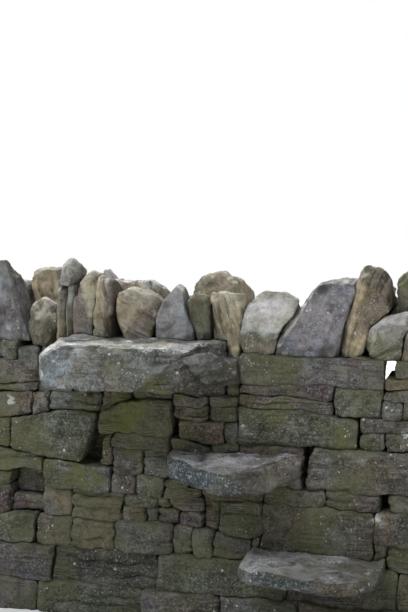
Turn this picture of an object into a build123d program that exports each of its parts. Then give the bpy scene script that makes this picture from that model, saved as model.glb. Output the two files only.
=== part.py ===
from build123d import *
import math
import os
import random

# A dry stone wall with a step stile: two battered skins of laid stones, a packed core, wall heads
# at both ends, three through stones that stand out of both faces as steps, and a cope of stones
# set on edge. X runs along the wall, the photographed face looks to -Y, and Z = 0 is the ground.

os.makedirs("parts", exist_ok=True)

# Driving dimensions, in millimetres
WALL_LENGTH = 3200
BASE_WIDTH = 680
TOP_WIDTH = 400
BATTER_HEIGHT = 1000
SKIN_DEPTH = 178
CORE_TOP = 948
HEAD_TIE_LENGTH = 240
HEAD_RUNNER_LENGTH = 385

SEAT = 0.3
JOINT = 1.5
JOINT_EXTRA = 3
ARRIS = 4
CORNER_CUT = 13
CORNER_CHANCE = 0.5
KNEE = 12
KNEE_CLEAR = 35
STONE_PROUD = 10
FOOTING_PROUD = 14
COPE_ARRIS = 10
CROWN_SHARE = 0.35
BACK_SHARE = 0.55
NOSE_RADIUS = 25

# How the random stones are laid
LAP = 40
LEAST_LENGTH = 130
LEAST_RISE = 75
PAIR_RISE = 88
PAIR_CHANCE = 0.2
COPE_THIN, COPE_THICK = 52, 118
COPE_LOW, COPE_TALL = 205, 288

LOWER_TREAD = 285
LOWER_THICKNESS = 45
LOWER_LEFT = 180
LOWER_RIGHT = 650
LOWER_REACH = 275
MIDDLE_TREAD = 610
MIDDLE_THICKNESS = 75
MIDDLE_LEFT = -136
MIDDLE_RIGHT = 350
MIDDLE_REACH = 320
MIDDLE_PEAK = 278
UPPER_TREAD = 1003
UPPER_THICKNESS = 145
UPPER_SLAB = 58
UPPER_LEFT = -520
UPPER_RIGHT = 60
UPPER_REACH = 330
UPPER_OVERHANG = 50

PEEP_LEFT = 630
PEEP_RIGHT = 666
PEEP_BOTTOM = 895
PEEP_REAR_LEFT = 588
PEEP_REAR_RIGHT = 640
PEEP_SILL = 825

HALF_LENGTH = WALL_LENGTH / 2
BASE_HALF = BASE_WIDTH / 2
TOP_HALF = TOP_WIDTH / 2
BATTER = math.atan((BASE_HALF - TOP_HALF) / BATTER_HEIGHT)

LOWER_UNDER = LOWER_TREAD - LOWER_THICKNESS
MIDDLE_UNDER = MIDDLE_TREAD - MIDDLE_THICKNESS
UPPER_UNDER = UPPER_TREAD - UPPER_THICKNESS


def half_width(z):
    """Half the wall's thickness at a height; above the batter the sides are upright."""
    return BASE_HALF - math.tan(BATTER) * min(z, BATTER_HEIGHT)


def height(bed, x):
    """Height of a bed line at x: straight between its points, level beyond them."""
    if x <= bed[0][0]:
        return bed[0][1]
    for (xa, za), (xb, zb) in zip(bed, bed[1:]):
        if x <= xb:
            return za + (zb - za) * (x - xa) / (xb - xa)
    return bed[-1][1]


# Bed lines of the photographed face, from the ground up, as (x, height) points
GROUND = [(0, 0)]
FOOTING_BED = [(-1200, 108), (-600, 112), (200, 104), (900, 112), (1200, 106)]
SHIN_BED = [(-1200, 228), (-700, 236), (150, LOWER_UNDER), (680, LOWER_UNDER), (1200, 228)]
KNEE_BED = [(-1200, 335), (-400, 350), (20, 345), (60, 327), (212, 327), (600, 338), (1200, 330)]
LEVEL_BED = [(-1200, 430), (-620, 442), (640, 441), (1200, 428)]
THIGH_BED = [(-1200, 528), (-800, 588), (-740, 582), (-580, 545), (-349, 540), (369, 502),
             (705, 500), (1200, 520)]
WAIST_BED = [(-1200, 620), (-800, 696), (-740, 700), (-600, 730), (-405, 737), (369, 643),
             (705, 645), (1200, 612)]
BELLY_BED = [(-1200, 712), (-800, 797), (-290, 800), (548, 702), (705, 702), (1200, 702)]
CHEST_BED = [(-1200, 800), (-800, 828), (-650, 828), (548, 752), (705, 752), (1200, 790)]
SHOULDER_BED = [(-1200, 885), (-800, 918), (-745, 912), (-655, 868), (625, 852), (705, 853), (1200, 872)]
COPE_BED = [(-1200, 975), (-800, 985), (-748, 985), (-745, 962), (62, 962), (63, 922), (110, 922),
            (111, 957)]

# Shorter bed lines between those, where single stones of the photographed face meet
SHELF_BED = [(0, 275)]
SLIVER_BED = [(0, 424)]
PACK_BED = [(0, 402)]
RECESS_BED = [(0, 500)]
STRIP_BED = [(-145, 475), (212, 480)]
TONGUE_BED = [(-345, 512), (-149, 506), (345, 500)]
BRACKET_BED = [(0, 603)]
RIB_BED = [(-395, 664), (-107, 664), (-103, 646), (369, 643)]
MOSS_BED = [(-400, 737), (-290, 782), (-128, 782)]
NECK_BED = [(-124, 720), (115, 720)]
COLLAR_BED = [(-124, 768), (120, 778)]
SLAB_BED = [(116, 781), (546, 746)]
WEDGE_BED = [(116, 826), (200, 820), (453, 796)]
CHIP_BED = [(0, 813)]
PEEP_BED = [(0, PEEP_BOTTOM)]
SILL_BED = [(0, PEEP_SILL)]
LOWER_TOP = [(0, LOWER_TREAD)]
MIDDLE_TOP = [(0, MIDDLE_TREAD)]
MIDDLE_SOLE = [(0, MIDDLE_UNDER)]
UPPER_SOLE = [(0, UPPER_UNDER)]

FRONT_BEDS = [GROUND, FOOTING_BED, SHIN_BED, KNEE_BED, LEVEL_BED, THIGH_BED, WAIST_BED, BELLY_BED,
              CHEST_BED, SHOULDER_BED, COPE_BED]

# Bed lines of the rear face: the same heights at the wall heads, and levelled for the steps
REAR_BEDS = [
    GROUND,
    [(-1200, 108), (-500, 102), (300, 110), (1200, 106)],
    [(-1200, 228), (0, 236), (150, LOWER_UNDER), (680, LOWER_UNDER), (1200, 228)],
    [(-1200, 335), (-300, 322), (500, 342), (1200, 330)],
    [(-1200, 430), (-400, 425), (400, 436), (1200, 428)],
    [(-1200, 528), (-160, MIDDLE_UNDER), (380, MIDDLE_UNDER), (1200, 520)],
    [(-1200, 620), (-200, 648), (400, 642), (1200, 612)],
    [(-1200, 712), (-300, 722), (500, 712), (1200, 702)],
    [(-1200, 800), (-400, 790), (500, 782), (1200, 790)],
    [(-1200, 885), (-560, UPPER_UNDER), (90, UPPER_UNDER), (700, 862), (1200, 872)],
    COPE_BED,
]


def face_plane(side, proud):
    """The battered face of one side, moved out level by proud. Local x runs to the viewer's right."""
    outward = -math.cos(BATTER) if side == "front" else math.cos(BATTER)
    across = 1 if side == "front" else -1
    y = -(BASE_HALF + proud) if side == "front" else BASE_HALF + proud
    return Plane(origin=(0, y, 0), x_dir=(across, 0, 0), z_dir=(0, outward, math.sin(BATTER)))


def ends(x):
    """A stone's end as its x at the lower and the upper bed: one number is an upright end."""
    return x if isinstance(x, tuple) else (x, x)


def between(line, x):
    """Height at x on the straight line through a pair of points."""
    (xa, za), (xb, zb) = line
    return za + (zb - za) * (x - xa) / (xb - xa)


def bed_edge(bed, x_from, x_to, side):
    """A stone's lower (side 1) or upper (side -1) edge: straight, touching its bed line without
    crossing it, and bent only where the line has a real knee."""
    chord = [(x_from, height(bed, x_from)), (x_to, height(bed, x_to))]
    inner = [(x, z) for x, z in bed if x_from < x < x_to]
    knees = [(x, z) for x, z in inner
             if abs(z - between(chord, x)) > KNEE and x_from + KNEE_CLEAR < x < x_to - KNEE_CLEAR]
    edge = [chord[0], *knees, chord[1]]
    lift = max([0] + [side * (z - height(edge, x)) for x, z in inner])
    return [(x, z + side * (lift + SEAT / 2)) for x, z in edge]


def stone(side, low, high, x_from, x_to, proud, dice, cut_chance=1):
    """One laid stone between two bed lines, with irregular joints, cut corners and a worn face edge."""
    (left_low, left_high), (right_low, right_high) = ends(x_from), ends(x_to)
    xa = left_low + JOINT + dice.uniform(0, JOINT_EXTRA)
    xb = right_low - JOINT - dice.uniform(0, JOINT_EXTRA)
    xc = right_high - JOINT - dice.uniform(0, JOINT_EXTRA)
    xd = left_high + JOINT + dice.uniform(0, JOINT_EXTRA)
    bottom = bed_edge(low, xa, xb, 1)
    top = bed_edge(high, xd, xc, -1)
    thin = min(top[0][1] - bottom[0][1], top[-1][1] - bottom[-1][1])
    most = min(CORNER_CUT, thin / 3, (xb - xa) / 4, (xc - xd) / 4)
    cut = [dice.uniform(0.3, 1) * most if dice.random() < cut_chance else 0 for _ in range(4)]
    outline = [(xa, bottom[0][1] + cut[0]), (xa + cut[0], height(bottom, xa + cut[0]))]
    outline += bottom[1:-1]
    outline += [(xb - cut[1], height(bottom, xb - cut[1])), (xb, bottom[-1][1] + cut[1])]
    outline += [(xc, top[-1][1] - cut[2]), (xc - cut[2], height(top, xc - cut[2]))]
    outline += reversed(top[1:-1])
    outline += [(xd + cut[3], height(top, xd + cut[3])), (xd, top[0][1] - cut[3])]
    arris = min(ARRIS, most / 3)
    outline = [p for p, q in zip(outline, outline[1:] + outline[:1]) if math.dist(p, q) > 1.2 * arris]
    across = 1 if side == "front" else -1
    with BuildPart() as laid:
        with BuildSketch(face_plane(side, proud - arris)) as shape:
            with BuildLine():
                Polyline(*[(across * x, z / math.cos(BATTER)) for x, z in outline][::across], close=True)
            make_face()
        extrude(shape.sketch, amount=SKIN_DEPTH + proud - arris, dir=(0, across, 0))
        extrude(shape.sketch, amount=arris, taper=45)
    return laid.part


def lengths(low, high, x_from, x_to, below, dice):
    """Joint positions of a random course, kept clear of the joints in the course below."""
    joints = [x_from]
    while True:
        rise = height(high, joints[-1]) - height(low, joints[-1])
        step = dice.uniform(1.5, 3.4) * max(rise, LEAST_RISE) + LAP
        x = joints[-1] + step
        near = [j for j in below if abs(j - x) < LAP]
        if near:
            x = near[0] + LAP + CORNER_CUT
        if x_to - x < LEAST_LENGTH:
            break
        joints.append(x)
    return joints + [x_to]


def random_course(side, low, high, x_from, x_to, below, dice):
    """A run of stones between two bed lines; some long ones are a pair of thin stones instead."""
    stones = []
    lead = FOOTING_PROUD if low is GROUND else 0
    joints = lengths(low, high, x_from, x_to, below, dice)
    for xa, xb in zip(joints, joints[1:]):
        proud = lead + dice.uniform(-STONE_PROUD, STONE_PROUD)
        rise = min(height(high, x) - height(low, x) for x in (xa, xb))
        if rise > PAIR_RISE and dice.random() < PAIR_CHANCE:
            share = dice.uniform(0.4, 0.6)
            middle = [(x, height(low, x) * (1 - share) + height(high, x) * share) for x in (xa, xb)]
            stones.append(stone(side, low, middle, xa, xb, proud, dice, CORNER_CHANCE))
            stones.append(stone(side, middle, high, xa, xb, proud + dice.uniform(-5, 5), dice, CORNER_CHANCE))
        else:
            stones.append(stone(side, low, high, xa, xb, proud, dice, CORNER_CHANCE))
    return stones, joints


# Stones of the photographed face, course by course: lower bed, upper bed, left end, right end,
# and how far the stone stands proud of the face. An end with two values slants.
FRONT_STONES = {
    3: [
        (SHIN_BED, KNEE_BED, -838, -642, 4), (SHIN_BED, KNEE_BED, -642, -502, -6),
        (SHIN_BED, KNEE_BED, -502, -330, 3), (SHIN_BED, KNEE_BED, -330, -110, 8),
        (SHIN_BED, KNEE_BED, -110, -36, -4), (SHIN_BED, KNEE_BED, -36, 38, 2),
        (SHIN_BED, SHELF_BED, 38, LOWER_LEFT, -3), (SHELF_BED, KNEE_BED, 38, LOWER_LEFT, 5),
        (LOWER_TOP, KNEE_BED, LOWER_LEFT, 213, 0), (LOWER_TOP, KNEE_BED, 605, LOWER_RIGHT, 3),
        (SHIN_BED, KNEE_BED, LOWER_RIGHT, 800, -2),
    ],
    4: [
        (KNEE_BED, LEVEL_BED, -870, -753, -2), (KNEE_BED, PACK_BED, -753, -620, -30),
        (KNEE_BED, LEVEL_BED, -620, -507, -5), (KNEE_BED, SLIVER_BED, -507, -300, 7),
        (SLIVER_BED, LEVEL_BED, -507, -300, -8), (KNEE_BED, PACK_BED, -300, -214, 2),
        (KNEE_BED, PACK_BED, -214, -166, -12), (KNEE_BED, PACK_BED, -166, -90, 4),
        (KNEE_BED, PACK_BED, -90, -3, 0), (PACK_BED, LEVEL_BED, -300, -166, 3),
        (PACK_BED, LEVEL_BED, -166, -121, -2), (PACK_BED, LEVEL_BED, -121, -3, 1),
        (KNEE_BED, LEVEL_BED, -3, 58, -10), (KNEE_BED, LEVEL_BED, 58, 214, 4),
        (LOWER_TOP, LEVEL_BED, 214, 603, 10), (KNEE_BED, LEVEL_BED, 604, 762, 12),
    ],
    5: [
        (PACK_BED, RECESS_BED, -750, -622, -75), (RECESS_BED, THIGH_BED, -815, -622, 4),
        (LEVEL_BED, RECESS_BED, -815, -753, -6), (LEVEL_BED, THIGH_BED, -619, -347, 6),
        (LEVEL_BED, TONGUE_BED, -347, -258, -5), (LEVEL_BED, TONGUE_BED, -258, -147, 5),
        (LEVEL_BED, STRIP_BED, -147, -6, 2), (STRIP_BED, TONGUE_BED, -147, -60, 6),
        (LEVEL_BED, STRIP_BED, -6, 214, -3), (STRIP_BED, MIDDLE_SOLE, -58, 80, -4),
        (STRIP_BED, MIDDLE_SOLE, 80, 214, -6), (LEVEL_BED, TONGUE_BED, 214, 434, 3),
        (TONGUE_BED, MIDDLE_SOLE, 214, MIDDLE_RIGHT, -6), (LEVEL_BED, THIGH_BED, 434, 626, 6),
        (LEVEL_BED, THIGH_BED, 650, 735, 8),
    ],
    6: [
        (THIGH_BED, WAIST_BED, -930, -756, 2), (THIGH_BED, WAIST_BED, -756, (-463, -409), 10),
        (THIGH_BED, RIB_BED, (-397, -377), -347, 4), (TONGUE_BED, BRACKET_BED, -347, -231, 7),
        (TONGUE_BED, BRACKET_BED, -231, MIDDLE_LEFT, 0), (BRACKET_BED, RIB_BED, -347, MIDDLE_LEFT, 5),
        (MIDDLE_TOP, RIB_BED, MIDDLE_LEFT, 16, 4), (MIDDLE_TOP, RIB_BED, 16, 120, 2),
        (MIDDLE_TOP, RIB_BED, 120, MIDDLE_RIGHT, -3), (THIGH_BED, WAIST_BED, (366, 380), 856, 12),
    ],
    7: [
        (WAIST_BED, BELLY_BED, -880, -675, 6), (WAIST_BED, BELLY_BED, -675, -606, 9),
        (WAIST_BED, BELLY_BED, -606, -403, 4), (MOSS_BED, BELLY_BED, -403, -288, -3),
        (RIB_BED, MOSS_BED, -403, -127, 9), (RIB_BED, NECK_BED, -103, 64, 5),
        (RIB_BED, NECK_BED, 64, 114, -2), (NECK_BED, COLLAR_BED, -125, 4, 4),
        (NECK_BED, COLLAR_BED, 4, 114, -6), (RIB_BED, SLAB_BED, 114, 548, 11),
        (WAIST_BED, BELLY_BED, 550, 632, 2), (WAIST_BED, BELLY_BED, 632, 790, 6),
    ],
    8: [
        (BELLY_BED, CHEST_BED, -846, -652, 4), (BELLY_BED, CHEST_BED, -652, UPPER_LEFT, -3),
        (BELLY_BED, UPPER_SOLE, UPPER_LEFT, -402, -6), (BELLY_BED, UPPER_SOLE, -402, -288, -4),
        (MOSS_BED, UPPER_SOLE, -286, -128, -8), (COLLAR_BED, CHIP_BED, -125, 4, 5),
        (COLLAR_BED, CHIP_BED, 4, 114, 2), (SLAB_BED, WEDGE_BED, 114, 455, 8),
        (BELLY_BED, CHEST_BED, 548, 724, 0),
    ],
    9: [
        (CHEST_BED, SHOULDER_BED, -900, -653, 6), (CHIP_BED, UPPER_SOLE, -126, UPPER_RIGHT, -6),
        (WEDGE_BED, SHOULDER_BED, 114, 455, 6), (CHEST_BED, SHOULDER_BED, 457, 624, 5),
        (CHEST_BED, CHIP_BED, 624, 692, 8), (CHEST_BED, CHIP_BED, 692, 790, -4),
        (CHIP_BED, SHOULDER_BED, 624, 790, 4),
    ],
    10: [
        (SHOULDER_BED, COPE_BED, -812, -748, 3), (SHOULDER_BED, COPE_BED, -745, -653, 8),
        (CHEST_BED, COPE_BED, -652, UPPER_LEFT, -4), (CHIP_BED, COPE_BED, UPPER_RIGHT + 3, 111, -16),
        (SHOULDER_BED, COPE_BED, 112, PEEP_LEFT, 12), (SHOULDER_BED, PEEP_BED, PEEP_LEFT, 742, 4),
        (PEEP_BED, COPE_BED, PEEP_RIGHT, 742, 2),
    ],
}


def head_length(course):
    """How far the wall-head stones of a course reach back from the end: ties and runners by turns."""
    return HEAD_TIE_LENGTH if course % 2 else HEAD_RUNNER_LENGTH


def front_course(course, below, dice):
    """The photographed stones of a course, with random stones beyond them up to the wall heads."""
    low, high = FRONT_BEDS[course - 1], FRONT_BEDS[course]
    reach = HALF_LENGTH - head_length(course)
    laid = [stone("front", *placed, dice) for placed in FRONT_STONES.get(course, [])]
    if not laid:
        return random_course("front", low, high, -reach, reach, below, dice)
    first = min(ends(placed[2])[0] for placed in FRONT_STONES[course])
    last = max(ends(placed[3])[1] for placed in FRONT_STONES[course])
    left, left_joints = random_course("front", low, high, -reach, first, below, dice)
    right, right_joints = random_course("front", low, high, last, reach, below, dice)
    return laid + left + right, left_joints + right_joints


# Where the through stones break the rear courses: left, right, underside, tread
THROUGHS = [
    (LOWER_LEFT, LOWER_RIGHT, LOWER_UNDER, LOWER_TREAD),
    (MIDDLE_LEFT, MIDDLE_RIGHT, MIDDLE_UNDER, MIDDLE_TREAD),
    (UPPER_LEFT, UPPER_RIGHT, UPPER_UNDER, UPPER_TREAD),
]
LEAST_STONE = 20


def rear_course(course, below, dice):
    """A rear course laid round the through stones, with thin stones over a tread."""
    low, high = REAR_BEDS[course - 1], REAR_BEDS[course]
    reach = HALF_LENGTH - head_length(course)
    runs = [(low, high, -reach, reach)]
    if course == len(REAR_BEDS) - 1:
        drop_left, drop_right = COPE_BED[3][0], COPE_BED[-1][0]
        runs = [(low, high, -reach, drop_left), (low, high, drop_left, UPPER_LEFT),
                (low, high, UPPER_RIGHT + 3, drop_right), (low, high, drop_right, PEEP_REAR_LEFT),
                (low, high, PEEP_REAR_RIGHT, reach)]
    elif course == len(REAR_BEDS) - 2:
        runs = [(low, high, -reach, PEEP_REAR_LEFT), (low, SILL_BED, PEEP_REAR_LEFT, PEEP_REAR_RIGHT),
                (low, high, PEEP_REAR_RIGHT, reach)]
    else:
        for left, right, under, tread in THROUGHS:
            middle = (left + right) / 2
            if height(low, middle) < under + LEAST_STONE and height(high, middle) > tread:
                runs = [(low, high, -reach, left), (low, high, right, reach),
                        ([(0, tread)], high, left, right)]
    stones, joints = [], []
    for run_low, run_high, x_from, x_to in runs:
        more, at = random_course("rear", run_low, run_high, x_from, x_to, below, dice)
        stones += more
        joints += at
    return stones, joints


def write(part, name):
    """Label a finished piece and write it out."""
    part.label = name
    export_step(part, f"parts/{name}.step")


# Both skins, course by course
for side, lay in (("front", front_course), ("rear", rear_course)):
    joints_below = []
    for course in range(1, len(FRONT_BEDS)):
        stones, joints_below = lay(course, joints_below, random.Random(f"{side} {course}"))
        with BuildPart() as skin:
            add(stones)
        write(skin.part, f"{side}_footings" if course == 1 else f"{side}_course_{course}")


# Wall heads: squared stones, by turns a tie across the whole wall and a pair of runners
def head_stone(end, course, halves):
    """The head stones of one course: one across the wall, or one along each face."""
    low, high = (height(beds, end * HALF_LENGTH) for beds in FRONT_BEDS[course - 1:course + 1])
    low += SEAT / 2
    high -= SEAT / 2
    for sign in halves:
        inner = JOINT if len(halves) == 2 else -half_width(low)
        inner_top = JOINT if len(halves) == 2 else -half_width(high)
        with BuildSketch(Plane.YZ.offset(end * (HALF_LENGTH - head_length(course)))) as section:
            with BuildLine():
                Polyline((sign * inner, low), (sign * half_width(low), low),
                         (sign * half_width(high), high), (sign * inner_top, high), close=True)
            make_face()
        extrude(section.sketch, amount=head_length(course), dir=(end, 0, 0))


for end, name in ((-1, "left"), (1, "right")):
    with BuildPart() as ties:
        for course in range(1, len(FRONT_BEDS), 2):
            head_stone(end, course, (1,))
        outer = ties.faces().filter_by_position(Axis.X, HALF_LENGTH * end - 1, HALF_LENGTH * end + 1)
        chamfer(outer.edges(), length=ARRIS)
    write(ties.part, f"{name}_head_ties")
    with BuildPart() as runners:
        for course in range(2, len(FRONT_BEDS), 2):
            head_stone(end, course, (-1, 1))
        outer = runners.faces().filter_by_position(Axis.X, HALF_LENGTH * end - 1, HALF_LENGTH * end + 1)
        chamfer(outer.edges(), length=ARRIS)
    write(runners.part, f"{name}_head_runners")


# Through stones that stand out of both faces as steps
def through_stone(under, thickness, face, reach, nose, arris):
    """A slab straight through the wall, with the same worn nose beyond each face. The nose is
    (x, share of the reach) from the left of the photographed face, and turned round at the back."""
    left, right = nose[0][0], nose[-1][0]
    with BuildPart() as slab:
        with BuildSketch(Plane.XY.offset(under)) as plan:
            with BuildLine():
                front = [(x, -face - share * reach) for x, share in nose]
                back = [(left + right - x, face + share * reach) for x, share in nose]
                Polyline(*front, *back, close=True)
            make_face()
            fillet(plan.vertices().filter_by(lambda v: abs(v.Y) > face + NOSE_RADIUS), radius=NOSE_RADIUS)
        extrude(amount=thickness)
        chamfer(slab.faces().filter_by(Axis.Z).edges(), length=arris)
    return slab.part


LOWER_NOSE = [(LOWER_LEFT, 0), (LOWER_LEFT - 4, 0.72), (LOWER_LEFT + 60, 0.97), (LOWER_LEFT + 250, 1),
              (LOWER_RIGHT - 80, 0.94), (LOWER_RIGHT - 4, 0.7), (LOWER_RIGHT, 0)]
MIDDLE_NOSE = [(MIDDLE_LEFT, 0), (MIDDLE_LEFT + 6, 0.18), (MIDDLE_LEFT + 40, 0.38), (MIDDLE_LEFT + 180, 0.78),
               (MIDDLE_LEFT + MIDDLE_PEAK, 1), (MIDDLE_RIGHT - 119, 0.93), (MIDDLE_RIGHT - 45, 0.72),
               (MIDDLE_RIGHT, 0.3), (MIDDLE_RIGHT + 2, 0)]
UPPER_NOSE = [(UPPER_LEFT, 0), (UPPER_LEFT, 0.16), (UPPER_LEFT - UPPER_OVERHANG, 0.4),
              (UPPER_LEFT - UPPER_OVERHANG, 0.6), (UPPER_LEFT, 0.89), (UPPER_LEFT + 150, 0.99),
              (UPPER_RIGHT - 190, 1), (UPPER_RIGHT - 82, 0.92), (UPPER_RIGHT - 50, 0.5), (UPPER_RIGHT, 0.2),
              (UPPER_RIGHT, 0)]

with BuildPart() as lower_step:
    add(through_stone(LOWER_UNDER, LOWER_THICKNESS, half_width(LOWER_TREAD), LOWER_REACH, LOWER_NOSE, ARRIS))
write(lower_step.part, "lower_step")


def worn_plane(corner, right, rear):
    """The plane through three points on a worn corner, facing up."""
    facing = (Vector(*right) - Vector(*corner)).cross(Vector(*rear) - Vector(*corner))
    return Plane(origin=corner, z_dir=facing)


# The middle step's right shoulder is worn down to a plane through these three points
SHOULDER_NOSE = (MIDDLE_LEFT + MIDDLE_PEAK, -576, MIDDLE_TREAD)
SHOULDER_LOW = (MIDDLE_RIGHT - 50, -470, MIDDLE_TREAD - 60)
SHOULDER_REAR = (MIDDLE_RIGHT - 10, -230, MIDDLE_TREAD)

with BuildPart() as middle_step:
    add(through_stone(MIDDLE_UNDER, MIDDLE_THICKNESS, half_width(MIDDLE_TREAD), MIDDLE_REACH, MIDDLE_NOSE,
                      COPE_ARRIS))
    split(bisect_by=worn_plane(SHOULDER_NOSE, SHOULDER_LOW, SHOULDER_REAR), keep=Keep.BOTTOM)
write(middle_step.part, "middle_step")

# The upper step is a full-depth block at its left and a thin slab at its right, with a bearer below
SLAB_UNDER = UPPER_TREAD - UPPER_SLAB
BEARER_LEFT = UPPER_LEFT + 150
BEARER_SLOPE = 125
BEARER_SETBACK = 30

# Its worn corner at the front left is a plane through these three points
WORN_FRONT = (UPPER_LEFT - 10, -480, UPPER_TREAD - 43)
WORN_RIGHT = (UPPER_LEFT + 90, -520, UPPER_TREAD)
WORN_REAR = (UPPER_LEFT - 33, -240, UPPER_TREAD)

with BuildPart() as upper_step:
    add(through_stone(UPPER_UNDER, UPPER_THICKNESS, half_width(UPPER_TREAD), UPPER_REACH, UPPER_NOSE,
                      COPE_ARRIS))
    split(bisect_by=worn_plane(WORN_FRONT, WORN_RIGHT, WORN_REAR), keep=Keep.BOTTOM)
    with BuildSketch(Plane.XZ) as under_slab:
        with BuildLine():
            Polyline((BEARER_LEFT, UPPER_UNDER), (BEARER_LEFT + BEARER_SLOPE, SLAB_UNDER),
                     (UPPER_RIGHT + JOINT, SLAB_UNDER), (UPPER_RIGHT + JOINT, UPPER_UNDER), close=True)
        make_face()
    extrude(amount=BASE_WIDTH, both=True, mode=Mode.SUBTRACT)
write(upper_step.part, "upper_step")

with BuildPart() as bearer:
    add(through_stone(UPPER_UNDER, UPPER_THICKNESS - UPPER_SLAB - SEAT, half_width(UPPER_TREAD),
                      UPPER_REACH - BEARER_SETBACK, UPPER_NOSE, ARRIS))
    with BuildSketch(Plane.XZ) as bearer_shape:
        with BuildLine():
            Polyline((BEARER_LEFT + JOINT, UPPER_UNDER), (BEARER_LEFT + BEARER_SLOPE + JOINT, SLAB_UNDER),
                     (UPPER_RIGHT, SLAB_UNDER), (UPPER_RIGHT, UPPER_UNDER), close=True)
        make_face()
    extrude(amount=BASE_WIDTH, both=True, mode=Mode.INTERSECT)
write(bearer.part, "upper_step_bearer")


def core_half_width(z):
    """Half the core's thickness at a height, up to the backs of both skins' straight batter."""
    return BASE_HALF - math.tan(BATTER) * z - SKIN_DEPTH - SEAT


# Core of packed small stones between the skins, cut round the through stones and the gap
with BuildPart() as hearting:
    core_reach = HALF_LENGTH - HEAD_RUNNER_LENGTH - JOINT
    with BuildSketch(Plane.YZ.offset(-core_reach)):
        with BuildLine():
            foot = core_half_width(0)
            top = core_half_width(CORE_TOP)
            Polyline((-foot, 0), (foot, 0), (top, CORE_TOP), (-top, CORE_TOP), close=True)
        make_face()
    extrude(amount=2 * core_reach)
    with BuildSketch(Plane.XZ) as passages:
        for left, right, under, tread in THROUGHS:
            with Locations(((left + right) / 2, (under + tread) / 2)):
                Rectangle(right - left + 2 * ARRIS, tread - under + 2 * SEAT)
        with Locations(((PEEP_REAR_LEFT + PEEP_RIGHT) / 2, (PEEP_SILL + CORE_TOP) / 2)):
            Rectangle(PEEP_RIGHT - PEEP_REAR_LEFT, CORE_TOP - PEEP_SILL)
        with Locations(((UPPER_RIGHT + COPE_BED[-1][0]) / 2, COPE_BED[-2][1])):
            Rectangle(COPE_BED[-1][0] - UPPER_RIGHT, 2 * (CORE_TOP - COPE_BED[-2][1]),
                      align=(Align.CENTER, Align.MIN))
    extrude(amount=BASE_WIDTH, both=True, mode=Mode.SUBTRACT)
write(hearting.part, "hearting")

# Cope: stones set on edge across the top. Each outline is seen from the photographed face, as
# (x, height above its seat), and is followed by the seat and by how far it runs front to back.
COPE_FRONT = TOP_HALF + 6
COPE_BACK = -TOP_HALF - 6
SPLIT_FRONT = 66
SPLIT_BACK = 60
LEFT_SEAT = COPE_BED[1][1]
LOW_SEAT = COPE_BED[3][1]
WEDGE_SEAT = COPE_BED[-2][1]
RIGHT_SEAT = COPE_BED[-1][1]

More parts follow.
